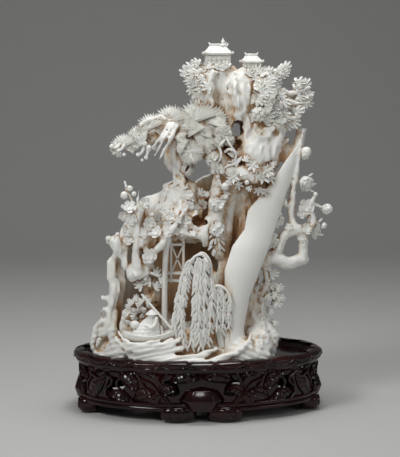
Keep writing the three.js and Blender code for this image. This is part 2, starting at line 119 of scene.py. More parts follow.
# %% [markdown]
# A few helpers keep the steps short. An operator acts on all that is selected, so `only` selects exactly the
# pieces that the next operator is meant for.

# %% Selecting, joining and modifiers


def only(*objects):
    bpy.ops.object.select_all(action="DESELECT")
    for obj in objects:
        obj.select_set(True)
    if objects:
        bpy.context.view_layer.objects.active = objects[-1]


def fresh(name, add, **settings):
    """Starts a piece with one of Blender's own operators, and names it."""
    only()
    add(**settings)
    bpy.context.object.name = name
    return bpy.context.object


def joined(name, parts):
    only(*parts)
    bpy.ops.object.join()
    whole = bpy.context.object
    whole.name = name
    whole.data.name = name
    return whole


def shaped(obj, kind, **settings):
    modifier = obj.modifiers.new(kind.title(), kind)
    for setting, value in settings.items():
        setattr(modifier, setting, value)
    only(obj)
    bpy.ops.object.modifier_apply(modifier=modifier.name)
    return obj


def settled(obj):
    """Puts an object's place into its mesh and turns its faces outwards."""
    only(obj)
    bpy.ops.object.transform_apply(location=True, rotation=True, scale=True)
    bpy.ops.object.mode_set(mode="EDIT")
    bpy.ops.mesh.select_all(action="SELECT")
    bpy.ops.mesh.normals_make_consistent(inside=False)
    bpy.ops.object.mode_set(mode="OBJECT")
    return obj


def triangles(obj):
    return sum(len(face.vertices) - 2 for face in obj.data.polygons)


# %% [markdown]
# A mass of rock starts as a filled circle. It is extruded upwards level by level, and each new level is moved
# and resized, as one would pull a form up by hand.

# %% A rock drawn up from a disc


def crag(name, levels, sides=28):
    """Each level is z, x, y, half width and half depth in millimetres."""
    z, x, y, wide, deep = levels[0]
    add = bpy.ops.mesh.primitive_circle_add
    rock = fresh(name, add, vertices=sides, radius=MM, fill_type="NGON", location=at(x, y, z))
    bpy.ops.object.mode_set(mode="EDIT")
    bpy.ops.transform.resize(value=(wide, deep, 1), center_override=at(x, y, z))
    for below, level in zip(levels, levels[1:]):
        z, x, y, wide, deep = level
        step = at(x, y, z) - at(below[1], below[2], below[0])
        bpy.ops.mesh.extrude_region_move(TRANSFORM_OT_translate={"value": step})
        growth = (wide / below[3], deep / below[4], 1)
        bpy.ops.transform.resize(value=growth, center_override=at(x, y, z))
    bpy.ops.object.mode_set(mode="OBJECT")
    return settled(rock)


def boulder_at(place, half_sizes, name="boulder"):
    add = bpy.ops.mesh.primitive_ico_sphere_add
    rock = fresh(name, add, subdivisions=4, radius=MM, location=at(*place))
    rock.scale = half_sizes
    return settled(rock)


# %% [markdown]
# A trunk, branch, post or twig is a Bezier curve with a round bevel. The radius is set at each point, so that
# it tapers as the wood does, and the curve is then turned into a mesh.

# %% A stem along a curve


def stem(points, radii, roundness=2, steps=5, name="stem"):
    line = fresh(name, bpy.ops.curve.primitive_bezier_curve_add, location=(0, 0, 0))
    curve = line.data
    spline = curve.splines[0]
    spline.bezier_points.add(len(points) - 2)
    for knot, place, radius in zip(spline.bezier_points, points, radii):
        knot.co = place if isinstance(place, Vector) else at(*place)
        knot.radius = radius
        knot.handle_left_type = knot.handle_right_type = "AUTO"
    curve.bevel_depth = MM
    curve.bevel_resolution = roundness
    curve.resolution_u = steps
    curve.use_fill_caps = True
    only(line)
    bpy.ops.object.convert(target="MESH")
    return bpy.context.object


# %% [markdown]
# A bent skin, such as what is left of the tusk's wall, starts as a flat grid. Its points are set by a
# formula, because a tapering, leaning shell with a ragged top has no primitive, and Solidify gives it its
# thickness.

# %% A skin from a grid


def skin(name, across, up, shape, thickness):
    """shape(u, v) gives the place of the point at u across and v up, each from 0 to 1."""
    add = bpy.ops.mesh.primitive_grid_add
    sheet = fresh(name, add, x_subdivisions=across, y_subdivisions=up, size=1, location=(0.5, 0.5, 0))
    for vertex in settled(sheet).data.vertices:
        vertex.co = shape(vertex.co.x, vertex.co.y)
    return settled(shaped(sheet, "SOLIDIFY", thickness=thickness * MM, offset=0))


def along(values, share):
    """Reads a list as a smooth curve, at a share from 0 to 1 of its length."""
    place = min(max(share, 0), 1) * (len(values) - 1)
    k = min(int(place), len(values) - 2)
    part = place - k
    ease = part * part * (3 - 2 * part)
    return values[k] * (1 - ease) + values[k + 1] * ease


# %% [markdown]
# ## The tusk
# The carver left three stretches of the tusk's own skin: the wall round the back of the grotto, the tall
# blade at the right, and the ground under everything. They are smooth, where the rocks are rough.

# %% The tusk's wall round the back
TUSK_X = -10
TUSK_HALF_WIDTH = 63
TUSK_HALF_DEPTH = 43
TUSK_FOOT, TUSK_RISE = 45, 150
TUSK_LEAN = 18
TUSK_TAPER_X, TUSK_TAPER_Y = 8, 6
WALL_TOPS = [186, 197, 191, 173, 164, 161, 158, 151, 136, 122, 98]
WALL_START, WALL_END = math.radians(36), math.radians(203)
WALL_FOOT = 46
WALL_INSET = 4
WALL_THICKNESS = 7


def wall_shape(u, v):
    angle = WALL_START + (WALL_END - WALL_START) * u
    z = WALL_FOOT + (along(WALL_TOPS, u) - WALL_FOOT) * v
    rise = max(0.0, z - TUSK_FOOT) / TUSK_RISE
    centre_x = TUSK_X + TUSK_LEAN * rise**1.3
    half_width = TUSK_HALF_WIDTH - TUSK_TAPER_X * rise - WALL_INSET
    half_depth = TUSK_HALF_DEPTH - TUSK_TAPER_Y * rise - WALL_INSET
    return at(centre_x + half_width * math.cos(angle), half_depth * math.sin(angle), z)


tusk_wall = skin("tusk_wall", 60, 40, wall_shape, WALL_THICKNESS)
print("tusk's wall:", triangles(tusk_wall), "triangles")

# %% [markdown]
# The blade is the brightest and calmest part of the carving, a strip of bare tusk that tapers as it leans out
# to the right. It could be cut out of a bent tube. But its two edges wander, each in its own way, so each
# edge is a short list of places by height, and the grid is stretched between the two.

# %% The blade of bare skin
BLADE_Z = [46, 66, 88, 108, 124, 136, 150, 165, 184, 197, 211]
BLADE_LEFT = [18, 18, 18, 18.5, 24, 33, 36, 49, 62, 71, 76.5]
BLADE_RIGHT = [30, 30, 34, 42, 49, 53, 58, 63, 70, 75, 77.4]
BLADE_FRONT = [-38, -37, -36, -34, -31, -28, -25, -22, -18, -14, -10]
BLADE_THICKNESS = 7
BLADE_BULGE = 0.15
BLADE_TURN_BACK = 4


def blade_shape(u, v):
    left, right = along(BLADE_LEFT, v), along(BLADE_RIGHT, v)
    across = 2 * u - 1
    bulge = BLADE_BULGE * (right - left) * (1 - across**2)
    front = along(BLADE_FRONT, v) + BLADE_THICKNESS / 2 + BLADE_TURN_BACK * u - bulge
    return at(left + (right - left) * u, front, along(BLADE_Z, v))


blade = skin("blade", 16, 60, blade_shape, BLADE_THICKNESS)
print("blade:", triangles(blade), "triangles")

# %% [markdown]
# At its foot the tusk's whole section is left as a thick oval slab, which the stand holds. It is drawn up
# from a disc like the rocks, with more sides, because its edge is seen against the dark seat. Waves are cut
# into it later.

# %% The ground
GROUND_LEVELS = [
    (SEAT, TUSK_X, 0, 65, 41), (44, TUSK_X, 0, 68, 43), (49, TUSK_X, 1, 67.5, 42), (54, TUSK_X, 2, 64, 39),
    (57, TUSK_X + 1, 4, 58, 34),
]
ground = crag("ground", GROUND_LEVELS, sides=72)
print("ground:", triangles(ground), "triangles")

# %% [markdown]
# ## The rocks
# The mountain stands on a core behind the blade. A tongue of rock hangs down its front between two clefts,
# and a shoulder at its left carries the old pine. The boulder is joined to the mountain by a thin neck.

# %% The mountain
MASS_LEVELS = [
    (166, 38, 3, 18, 18), (190, 37, 0, 22, 20), (206, 36, 1, 25, 19), (222, 32, 1, 28, 18),
    (236, 29, 1, 29, 17), (248, 28, 0, 28, 15), (254, 27, 0, 22, 11),
]
TONGUE_LEVELS = [
    (215, 30, -19, 0.6, 0.8), (221, 30, -18, 4, 3), (229, 30, -17, 7, 4), (240, 29, -14, 10, 5),
    (252, 28, -10, 11, 5),
]
mountain = [
    crag("core", [(50, 36, 0, 18, 24), (80, 34, 2, 14, 23), (110, 31, 4, 11, 22), (176, 36, 4, 20, 20)]),
    crag("mass", MASS_LEVELS, sides=40),
    crag("tongue", TONGUE_LEVELS),
    stem([(29, -20, 217), (28, -22, 226), (26, -20, 240), (26, -13, 252)], [0.8, 1.8, 2.2, 2.5]),
    crag("fold", [(208, 50, -13, 2, 2), (222, 50, -15, 4, 5), (236, 50, -14, 5, 6), (249, 46, -11, 7, 6)]),
    crag("fold", [(200, 10, -11, 3, 3), (218, 8, -13, 3.5, 4), (236, 8, -13, 4.5, 5), (250, 10, -11, 6, 6)]),
    crag("fold", [(214, 6, -10, 3, 4), (230, 4, -13, 4, 4), (246, 3, -11, 6, 5)]),
    crag("fold", [(206, 52, -12, 3, 3), (216, 56, -13, 5, 5), (228, 58, -10, 6, 5), (240, 56, -7, 7, 5)]),
    crag("drape", [(180, 40, -17, 6, 5), (188, 41, -20, 11, 6), (198, 42, -19, 11, 6), (204, 44, -15, 8, 5)]),
    crag("drape", [(182, 52, -13, 6, 6), (190, 52, -15, 7, 7), (202, 56, -13, 7, 6), (214, 61, -9, 6, 5)]),
    crag("drape", [(196, 35, -18, 4, 4), (204, 45, -18, 8, 5), (212, 54, -15, 7, 5), (218, 60, -11, 4, 4)]),
]
skin_to_blade = crag("web", [(186, 63, -8, 7, 4), (195, 63, -8, 11, 3), (201, 60, -6, 4, 2.5)])
print("mountain:", len(mountain), "masses of rock and a web to the blade")

# %% [markdown]
# The boulder hangs over the grotto like a roof, rounded by the carver's files, and the thin neck above it
# carries the old pine. Both could be sculpted from a ball. Drawn up from a disc, their outline follows the
# photograph level by level, and the neck can be made thin without thinning what it joins.

# %% The boulder, the neck and the shoulder of the pine
BOULDER_LEVELS = [
    (126, -13, -3, 16, 16), (131, -14, -5, 21, 20), (138, -15, -6, 24, 23), (148, -15, -6, 21.5, 22),
    (158, -13, -6, 17.5, 18), (166, -13, -7, 12.5, 12), (173, -14, -7, 6.5, 6),
]
NECK_LEVELS = [
    (166, -14, -7, 6, 6), (174, -14.5, -7, 4.4, 4.6), (180, -15, -7, 7, 6), (191, -12, -7, 14, 9),
    (203, -7, -7, 16, 10),
]
boulder = crag("boulder", BOULDER_LEVELS, sides=40)
behind_boulder = boulder_at((-14, 18, 146), (26, 26, 18))
neck = crag("neck", NECK_LEVELS)
SHOULDER_LEVELS = [(184, 14, -5, 8, 9), (200, 9, -5, 13, 12), (226, 8, -4, 10, 10), (246, 12, -3, 8, 8)]
shoulder = crag("shoulder", SHOULDER_LEVELS)
terrace = [
    crag("terrace", [(240, 4, -5, 6, 6), (246, 4, -6, 12, 9), (250, 6, -6, 17, 11), (252, 8, -5, 17, 11)]),
    crag("step", [(250, 12, -5, 14, 10), (256, 13, -5, 12.5, 9.5), (257, 13, -5, 11.5, 9)]),
    crag("step", [(248, 42, -5, 14, 9), (253, 41, -5, 12, 8.5), (254, 41, -5, 11, 8)]),
]
print("boulder and neck:", triangles(boulder) + triangles(neck), "triangles")

# %% [markdown]
# Worn rocks frame the grotto, water-holed at the left, and banks and curling waves lie round the boat. They
# mix all three starts: drawn-up crags for masses, balls for boulders, and thick stems where the rock is a
# rope or a wave. Each is only roughly right, because the fusing that follows rounds every joint.

# %% Rocks at the left, the right bank and the bank behind the boat
left_rocks = [
    stem([(-60, -14, 100), (-62, -17, 90), (-65, -19, 74), (-63, -20, 56), (-60, -20, 46)],
         [3.6, 4, 4.4, 4.2, 6]),
    stem([(-64, -17, 86), (-69, -17, 86), (-73, -16, 85)], [3.4, 3, 3.4]),
    stem([(-66, -18, 79), (-72, -17, 77), (-70, -17, 69), (-66, -18, 67)], [1.8, 1.8, 2, 2]),
    stem([(-66, -18, 70), (-74, -17, 68), (-78, -16, 58), (-77, -15, 46), (-70, -16, 42)],
         [3, 2.6, 2, 2.4, 4]),
    boulder_at((-71, -15, 61), (4, 4, 6)),
    boulder_at((-59, -23, 126), (7.5, 7.5, 6.5)),
    boulder_at((-64, -22, 129), (5, 5, 4)),
    boulder_at((-54, -24, 130), (5, 5, 5)),
    stem([(-57, -24, 122), (-54, -26, 112), (-47, -28, 104)], [4.4, 3.4, 4.6]),
    stem([(-58, -14, 132), (-61, -14, 118), (-64, -13, 106), (-61, -13, 94)], [4, 3, 2, 3]),
    boulder_at((-45, -28, 105), (7.5, 6.5, 4.5)),
    boulder_at((-40, -23, 112), (7, 7, 9)),
    boulder_at((-38, -21, 129), (12, 9, 8)),
]
banks = [
    crag("bank", [(42, 41, -16, 15, 18), (58, 42, -16, 13, 14), (68, 42, -14, 7, 10), (80, 36, -13, 4, 8)]),
    crag("bank", [(42, 48, -18, 9, 12), (56, 50, -18, 6, 8), (68, 49, -16, 4, 5), (78, 46, -15, 3, 4)]),
    crag("bank", [(42, 42, -30, 10, 8), (50, 42, -30, 8, 7), (57, 42, -29, 4, 5)]),
    stem([(36, -18, 62), (35, -17, 84), (40, -16, 104), (47, -16, 116)], [5, 3.4, 4, 6]),
    crag("bank", [(42, 26, -33, 15, 12), (50, 27, -33, 11, 9), (58, 28, -31, 6, 5), (64, 29, -30, 2.5, 3)]),
    stem([(-58, -34, 50), (-44, -44, 49), (-28, -47, 50), (-16, -45, 53), (-10, -42, 55)],
         [2, 2.4, 2.4, 2, 1.4]),
    stem([(-52, -40, 46), (-34, -47, 46), (-16, -49, 47), (2, -46, 49), (12, -40, 53)],
         [2, 2.2, 2.4, 2.2, 1.6]),
    stem([(-30, -48, 43), (-8, -51, 44), (14, -48, 46), (28, -42, 51), (36, -36, 58)], [1.6, 2, 2.2, 2, 1.5]),
    stem([(40, -38, 44), (36, -38, 52), (36, -35, 62)], [2.2, 2, 1.4]),
    stem([(-62, -34, 60), (-54, -43, 54), (-42, -47, 53), (-30, -47, 56), (-20, -45, 60)],
         [1.6, 2.2, 2.2, 2, 1.2]),
    stem([(-61, -36, 66), (-55, -43, 59), (-46, -47, 56.5), (-36, -47, 58), (-28, -46, 62)],
         [1, 1.5, 1.7, 1.6, 1]),
    stem([(-44, -45, 52), (-32, -47, 52), (-22, -46, 56), (-14, -43, 62), (-12, -40, 66)],
         [1.6, 2, 2, 1.6, 1]),
    stem([(50, -34, 44), (46, -34, 52), (43, -31, 62)], [2.2, 2, 1.4]),
    boulder_at((-20, -10, 58), (28, 15, 9)),
    boulder_at((-46, -22, 66), (13, 8, 18)),
    boulder_at((-36, -20, 88), (7, 7, 14)),
    boulder_at((-34, 30, 58), (19, 11, 13)),
    boulder_at((38, 20, 62), (13, 13, 17)),
]
cliff = [*mountain, boulder, behind_boulder, neck, shoulder, *terrace]
rough = joined("rocks", [*cliff, *left_rocks, *banks, ground])
print("rocks:", triangles(rough), "triangles")

# %% [markdown]
# The rocks are fused with a voxel remesh, which melts them into one skin as if cut from one block. Then each
# point moves along its normal. High up, noise stretched upwards makes the rock hang in folds with sharp
# creases between them. Low down, bent stripes make the waves that run over the ground. Each layer of the
# rock's noise gives how it bends, its width and height, how deep it cuts, and the mean that keeps the rock's
# size.

# %% Fuse the rocks and cut folds and waves
ROCK_VOXEL = 0.95
WAVE_STEP = 4.6
CALM_ROCK = [(31, 233, 10, 20), (42, 193, 12, 12)]
ROCK_LAYERS = {
    "folds": (1, 8.5, 36, 6, 1.6),
    "creases": (-1, 4.2, 13, 3.2, 0.6),
    "grooves": (0, 2.1, 14, 1.8, 0.5),
}


def carved(obj, depth):
    """Moves every point along its normal by depth(place in millimetres)."""
    moves = [vertex.normal * depth(vertex.co / MM) * MM for vertex in obj.data.vertices]
    for vertex, move in zip(obj.data.vertices, moves):
        vertex.co += move
    obj.data.update()
    return obj


def share_between(value, low, high):
    return min(max((value - low) / (high - low), 0), 1)


def fold_depth(p):
    """Hanging folds, calmer on the tongue and on the shell of rock below the cave."""
    rough_share = 1.0
    for x, z, half_width, half_height in CALM_ROCK:
        rough_share -= 0.5 * math.exp(-(((p.x - x) / half_width) ** 2) - ((p.z - z) / half_height) ** 2)
    wander = 7 * noise.noise(Vector((p.x / 24, p.y / 24, p.z / 17)))
    depth = 0
    for bend, width, height, relief, mean in ROCK_LAYERS.values():
        spot = Vector(((p.x + bend * wander) / width, p.y / width, p.z / height))
        depth += relief * abs(noise.noise(spot))
        depth -= mean
    return rough_share * depth


def wave_depth(p):
    bend = 9 * noise.noise(Vector((p.x / 34, p.y / 30, p.z / 26))) + 0.12 * abs(p.x - 18)
    stripes = abs(math.sin(math.pi * (p.z + 0.62 * p.y + bend) / WAVE_STEP))
    return 1.5 * stripes**0.7 - 0.8 + 0.9 * noise.noise(p / 11)


def rock_depth(p):
    high = max(share_between(p.z, 54, 74), share_between(p.x, 34, 44) * share_between(p.z, 44, 50))
    return high * fold_depth(p) + (1 - high) * share_between(p.z, 40, 43) * wave_depth(p)


shaped(rough, "REMESH", mode="VOXEL", voxel_size=ROCK_VOXEL * MM)
carved(rough, rock_depth)
print("fused rocks:", triangles(rough), "triangles")

# %% [markdown]
# ## Trunks and branches
# The thick wood is modelled before the last fusing, so that it grows out of the rock without a seam.

# %% The old pine's wood
PINE_WOOD = [
    ([(26, -2, 214), (8, -7, 212), (-10, -12, 211), (-24, -14, 212), (-36, -16, 209), (-46, -17, 206)],
     [13, 12, 8, 5.5, 4, 2.4]),
    ([(-20, -11, 206), (-38, -16, 202), (-50, -18, 200), (-58, -19, 200)], [4, 3, 2, 1.4]),
    ([(-10, -10, 212), (-22, -14, 217), (-34, -17, 217), (-44, -18, 213)], [5, 4, 3, 2]),
    ([(-18, -19, 216), (-22, -24, 210), (-27, -26, 202), (-33, -25, 191)], [1.5, 1.4, 1.3, 1]),
    ([(-15, -19, 215), (-19, -24, 208), (-24, -26, 199), (-30, -25, 188)], [1.5, 1.4, 1.3, 1]),
    ([(-20, -18, 217), (-25, -23, 211), (-30, -25, 203), (-37, -24, 194)], [1.4, 1.4, 1.2, 1]),
    ([(-15, -18, 214), (-19, -22, 208), (-22, -23, 200), (-28, -21, 192)], [1.5, 1.4, 1.3, 1]),
    ([(-13, -17, 212), (-16, -20, 204), (-18, -19, 195), (-17, -14, 184)], [1.6, 1.5, 1.4, 1.4]),
    ([(-14, -14, 212), (-17, -18, 204), (-19, -16, 194), (-15, -11, 182)], [3.4, 3, 3, 3.6]),
    ([(-2, -12, 212), (-6, -16, 204), (-8, -16, 194), (-12, -10, 184)], [5, 4.4, 5, 4]),
]
RIGHT_BOUGHS = [
    ([(46, -4, 238), (60, -8, 236), (72, -9, 237), (82, -9, 241)], [5, 3.2, 2, 1]),
    ([(56, -7, 232), (66, -10, 230), (74, -10, 229), (82, -9, 230)], [4, 2.6, 1.8, 1]),
    ([(48, -8, 224), (60, -12, 220), (70, -12, 218), (76, -11, 222)], [5, 3, 2, 1]),
    ([(46, -3, 246), (56, -5, 250), (62, -7, 254), (66, -7, 255)], [4, 2.6, 1.4, 0.8]),
    ([(8, -6, 238), (0, -9, 244), (-6, -10, 250), (-10, -9, 254)], [4, 3, 2, 1]),
    ([(56, -9, 196), (61, -10, 199), (66, -10, 203)], [3, 2, 1.4]),
]
MIDDLE_BOUGH = (
    [(8, -13, 206), (12, -18, 190), (24, -21, 180), (38, -22, 177), (54, -19, 180)],
    [6, 7, 7, 6.5, 4],
)
print("pine:", len(PINE_WOOD), "stems, right:", len(RIGHT_BOUGHS), "boughs")

# %% [markdown]
# The plum trees grow as old plums do, in knees and loops with thin straight shoots. Each tree is a table of
# its stems, every one a path and the thickness at each of its points, so that one loop can grow them all.

# %% The plum trees' wood
LEFT_PLUM = [
    ([(-45, -28, 104), (-47, -30, 120), (-45, -31, 141), (-45, -31, 157), (-44.5, -31, 168)],
     [5, 2.9, 2.3, 1.7, 0.8]),
    ([(-45, -30, 142), (-43, -30, 149), (-40, -30, 158)], [2.4, 1.8, 1.4]),
    ([(-46, -30, 138), (-48, -30, 151), (-50, -29, 160), (-53, -29, 167), (-55, -29, 174)],
     [2.6, 2, 1.4, 1.1, 0.9]),
    ([(-50, -26, 130), (-51, -28, 140), (-51, -28, 150)], [4, 3.6, 2.6]),
    ([(-26, -29, 132), (-28, -32, 127), (-33, -33, 122), (-40, -31, 114)], [3.6, 3.2, 2.6, 3]),
    ([(-27, -28, 130), (-22, -30, 136), (-17, -31, 143), (-11, -30, 153)], [4, 2.6, 2, 1.3]),
]
RAILS = [
    ([(-32, -26, 134), (-16, -27, 139), (4, -24, 138)], [3, 2, 2.4]),
    ([(-28, -28, 131), (-19, -28, 136), (-8, -28, 134), (3, -25, 132)], [3.8, 2.2, 1.9, 3]),
    ([(7, -23, 146), (3, -26, 134), (5, -24, 125)], [3, 4, 2.4]),
]
RIGHT_PLUM = [
    ([(34, -17, 114), (46, -17, 115), (58, -16, 114), (66, -15, 111), (74, -14, 113), (81, -13, 113)],
     [6, 5.6, 5.2, 5, 4.6, 3]),
    ([(76, -14, 112), (78, -13, 122), (77, -13, 130), (73, -13, 136)], [4.4, 3.6, 3.8, 4.4]),
    ([(54, -16, 114), (59, -15, 123), (64, -14, 132), (72, -13, 136)], [5, 4.4, 4, 4.6]),
    ([(71, -13, 135), (69, -13, 142), (69, -13, 156), (70, -13, 168), (72, -13, 178), (74, -12, 192),
      (78, -10, 214)],
     [4.8, 3, 2.6, 2.4, 2.2, 1.8, 0.6]),
    ([(62, -15, 174), (65, -14, 172), (69, -13, 169)], [2, 1.3, 1.5]),
    ([(56, -16, 154), (62, -15, 155), (68, -13, 153)], [2.6, 2, 2]),
    ([(60, -16, 158), (61, -15, 163), (64, -15, 169)], [2.4, 2.2, 1.8]),
    ([(78, -15, 148), (83, -15, 154), (90, -14, 153), (94, -13, 151)], [3, 2, 1, 1.6]),
    ([(80, -14, 150), (83, -15, 156), (86, -15, 161)], [3, 1.9, 1.7]),
    ([(73, -13, 136), (80, -14, 136), (84, -15, 142), (80, -14, 150)], [4.4, 4.4, 3, 3.4]),
]
COLUMN = [
    ([(20, -13, 180), (15, -17, 166), (12, -21, 152), (12, -22, 134), (15, -22, 120), (15, -22, 115)],
     [8, 7, 6, 5.6, 4.4, 3.4]),
    ([(26, -12, 178), (22, -15, 150), (17, -20, 108), (14, -24, 84), (15, -27, 50)], [6, 5, 4, 4.6, 8]),
    ([(8, -14, 110), (11, -20, 96), (9, -24, 76), (8, -26, 50)], [3, 3.4, 4, 6]),
]
RIGHT_PINE = [
    ([(50, -15, 60), (46, -16, 74), (47, -16, 86), (50, -16, 96), (49, -16, 110)], [5, 3, 2.4, 2.4, 3]),
    ([(38, -17, 92), (42, -16, 90), (47, -16, 87)], [2.4, 1.6, 1.8]),
]
BACK_WOOD = [
    ([(16, 39, 50), (8, 41, 78), (-4, 40, 100), (-20, 37, 122)], [6, 5, 4, 3]),
    ([(5, 41, 86), (14, 40, 108), (24, 36, 134)], [4.4, 3.6, 2.4]),
]
PINE_AND_BOUGHS = [*PINE_WOOD, *RIGHT_BOUGHS, MIDDLE_BOUGH]
PLUMS_AND_REST = [*LEFT_PLUM, *RAILS, *RIGHT_PLUM, *COLUMN, *RIGHT_PINE, *BACK_WOOD]
wood = [stem(points, radii, roundness=3) for points, radii in [*PINE_AND_BOUGHS, *PLUMS_AND_REST]]
trees = joined("trees", wood)
print("wood:", len(wood), "stems")

# %% [markdown]
# Old plum and pine wood is ridged along its grain and knotted. The stems are fused on their own and roughened
# with finer noise than the rocks, before they join them.

# %% Bark
BARK_VOXEL = 0.75


def bark_depth(p):
    knots = noise.noise(p / 7)
    grain = abs(noise.noise(p / 2.6))
    return 0.9 * knots + 1.3 * grain - 0.35


shaped(trees, "REMESH", mode="VOXEL", voxel_size=BARK_VOXEL * MM)
carved(trees, bark_depth)
print("trees:", triangles(trees), "triangles")

# %% [markdown]
# Everything thick is now joined and fused once more at a finer size. Cutters open the cave through the
# mountain and the hollows beside it. Decimate then thins the mesh where it is flat, which keeps the piece
# light enough.

# %% Fuse the ivory's body
BODY_VOXEL = 0.75
BODY_TRIANGLES = 185000
CAVES = [
    ([(28, -40, 214), (28.5, -12, 213), (30, 60, 205)], [3.8, 4, 4.4]),
    ([(27, -40, 209), (28, -12, 209), (30, 60, 200)], [4.4, 4.6, 5]),
    ([(25, -40, 200), (26.5, -14, 200), (28, -8, 202)], [4.6, 4.4, 3]),
    ([(24, -40, 195), (25, -16, 196), (26, -10, 197)], [3, 3, 2]),
]
NICHES = [((0, -23, 142.5), (6.5, 7, 3.6)), ((-3, -24, 145), (4, 6, 3)), ((1, -17, 249.5), (3, 7, 2.4))]
body = joined("ivory_body", [rough, trees, tusk_wall, blade, skin_to_blade])
shaped(body, "REMESH", mode="VOXEL", voxel_size=BODY_VOXEL * MM)
cave_parts = [stem(points, radii, roundness=3) for points, radii in CAVES]
cave_parts += [boulder_at(place, half_sizes) for place, half_sizes in NICHES]
caves = joined("caves", cave_parts)
shaped(caves, "REMESH", mode="VOXEL", voxel_size=BODY_VOXEL * MM)
carved(caves, lambda p: 1.3 * noise.noise(p / 3.6))
shaped(body, "BOOLEAN", object=caves, operation="DIFFERENCE", solver="MANIFOLD")
bpy.data.objects.remove(caves)
print("body before thinning:", triangles(body), "triangles")

# %% [markdown]
# Carvers undercut the rock with small drill holes and gouged pits, which hold the shadows. Cutting each with
# a Boolean would be slow. They are pressed in instead: each hollow pulls the points near it inwards, along
# their normals, by a bell-shaped amount.

# %% Small hollows, pressed in
HOLLOWS = [
    (-20, -25, 155, 3.2, 3.5), (-26, -20, 158, 2.6, 2.5), (-8, -27, 151, 2.6, 2), (-16, -27, 143, 3, 2.5),
    (-14, -12, 176, 3, 2), (16, -19, 226, 2.4, 3), (22, -20, 230, 2, 3), (40, -21, 232, 2.2, 3),
    (48, -17, 226, 2.5, 3), (15, -27, 115, 2.4, 3), (-45, -40, 54, 3.5, 4), (-74, -17, 50, 3.4, 3),
    (-71, -19, 74, 2, 2), (43, -20, 98, 3, 3), (-36, -27, 92, 4, 4), (-30, -24, 82, 4, 4),
    (10, -17, 222, 2.2, 2.5), (56, -17, 208, 2.4, 2.5), (20, -19, 240, 2.4, 3.5), (20, -20, 232, 2.6, 4),
    (23, -19, 224, 2.4, 3.5), (40, -21, 240, 2.2, 3), (38, -21, 229, 2.4, 3.5), (9, -17, 244, 2.2, 3),
    (10, -18, 234, 2.4, 3), (46, -20, 208, 2.4, 3), (36, -22, 196, 2, 2), (2, -15, 240, 2.4, 3),
    (38, -22, 207, 3, 5), (35, -22, 204, 2.4, 3), (15, -18, 223, 5, 5), (18, -17, 214, 4, 5),
    (42, -19, 221, 4.5, 5), (14, -17, 233, 4, 3.5),
]
HOLLOW_END = 6


def hollow_depth(p):
    pressed = 0
    for x, y, z, radius, depth in HOLLOWS:
        away = (p - at(x, y, z) / MM).length_squared / radius**2
        if away < HOLLOW_END:
            pressed -= depth * math.exp(-away)
    return pressed


carved(body, hollow_depth)
shaped(body, "SMOOTH", factor=0.3, iterations=1)
full_count = triangles(body)
shaped(body, "DECIMATE", ratio=min(1, BODY_TRIANGLES / full_count))
body.data.validate()
print("body:", full_count, "thinned to", triangles(body), "triangles")

# %% [markdown]
# ## Leaves, needles and flowers
# Each kind is modelled once, a few millimetres across and facing +Z, and then copied. A spray starts as rings
# of points round a middle. Every second point is pulled in and down, so that ridges run out to sharp tips,
# and the back closes to a point, where the spray grows from its twig.

# %% A ridged spray, modelled once


def spray(name, lobes, per_lobe, rim, dome, cup=0.0, back=0.5, arc=360.0, half_way=0.5):
    """rim lists the reach and height of each point of a lobe; arc is how far round the middle they spread."""
    count = lobes * per_lobe
    made = fresh(name, bpy.ops.mesh.primitive_circle_add, vertices=count, radius=1, fill_type="NOTHING")
    bpy.ops.object.mode_set(mode="EDIT")
    bpy.ops.mesh.extrude_region_move(TRANSFORM_OT_translate={"value": (0, 0, cup)})
    bpy.ops.mesh.extrude_region_move(TRANSFORM_OT_translate={"value": (0, 0, dome - cup)})
    bpy.ops.mesh.merge(type="CENTER")
    bpy.ops.object.mode_set(mode="OBJECT")
    work = bmesh.new()
    work.from_mesh(made.data)
    work.verts.ensure_lookup_table()
    for k in range(count):
        reach, height = rim[k % per_lobe]
        turn = math.radians(90 + arc * ((k + 0.5) / count - 0.5))
        out = Vector((math.cos(turn), math.sin(turn), 0))
        work.verts[k].co = out * reach + Vector((0, 0, height))
        work.verts[count + k].co = out * half_way + Vector((0, 0, cup + 0.6 * height))
    ring = [edge for edge in work.edges if edge.is_boundary]
    root = work.verts.new((0, 0, -back))
    for edge in ring:
        work.faces.new((*edge.verts, root))
    bmesh.ops.recalc_face_normals(work, faces=work.faces)
    work.to_mesh(made.data)
    work.free()
    return settled(made)


FINGER = [(0.58, -0.15), (0.9, 0.02), (1.0, -0.1), (0.92, 0.02)]
PETAL = [(1.0, 0.12), (0.98, 0.1), (0.76, -0.08), (0.98, 0.1), (1.0, 0.12)]
NEEDLES = [(1.0, 0.03), (0.76, -0.11), (0.9, 0.04), (0.74, -0.11), (0.96, 0.0), (0.76, -0.12)]
ROUND_LEAF = [(0.4, -0.16), (0.78, 0.02), (1.0, -0.1), (0.78, 0.02)]
LILY_PETAL = [(0.28, -0.1), (0.62, 0.12), (1.0, 0.25), (0.62, 0.12)]
needle_fan = spray("needle_fan", 6, 6, NEEDLES, dome=-0.02, cup=0.1, back=0.3, arc=205, half_way=0.4)
leaf_rosette = spray("leaf_rosette", 6, 4, ROUND_LEAF, dome=0.2, cup=0.22)
leaf_hand = spray("leaf_hand", 5, 4, FINGER, dome=0.0, cup=0.16, back=0.3, arc=190, half_way=0.45)
leaf_hand.data.transform(Matrix.Diagonal((0.8, 1.35, 1, 1)))
blossom = spray("blossom", 5, 5, PETAL, dome=-0.2, cup=-0.12)
star_flower = spray("star_flower", 6, 4, LILY_PETAL, dome=-0.12, cup=-0.05)
print("a needle fan has", triangles(needle_fan), "triangles, a blossom", triangles(blossom))

# %% [markdown]
# A bud is a ball whose folds turn round it as it rises, as petals do before they open. A leaf is the smallest
# ball that Blender makes, drawn out thin, because hundreds of them hang on the willow. A blossom's raised
# middle is one more small spray.

# %% A bud, a leaf and a blossom's middle


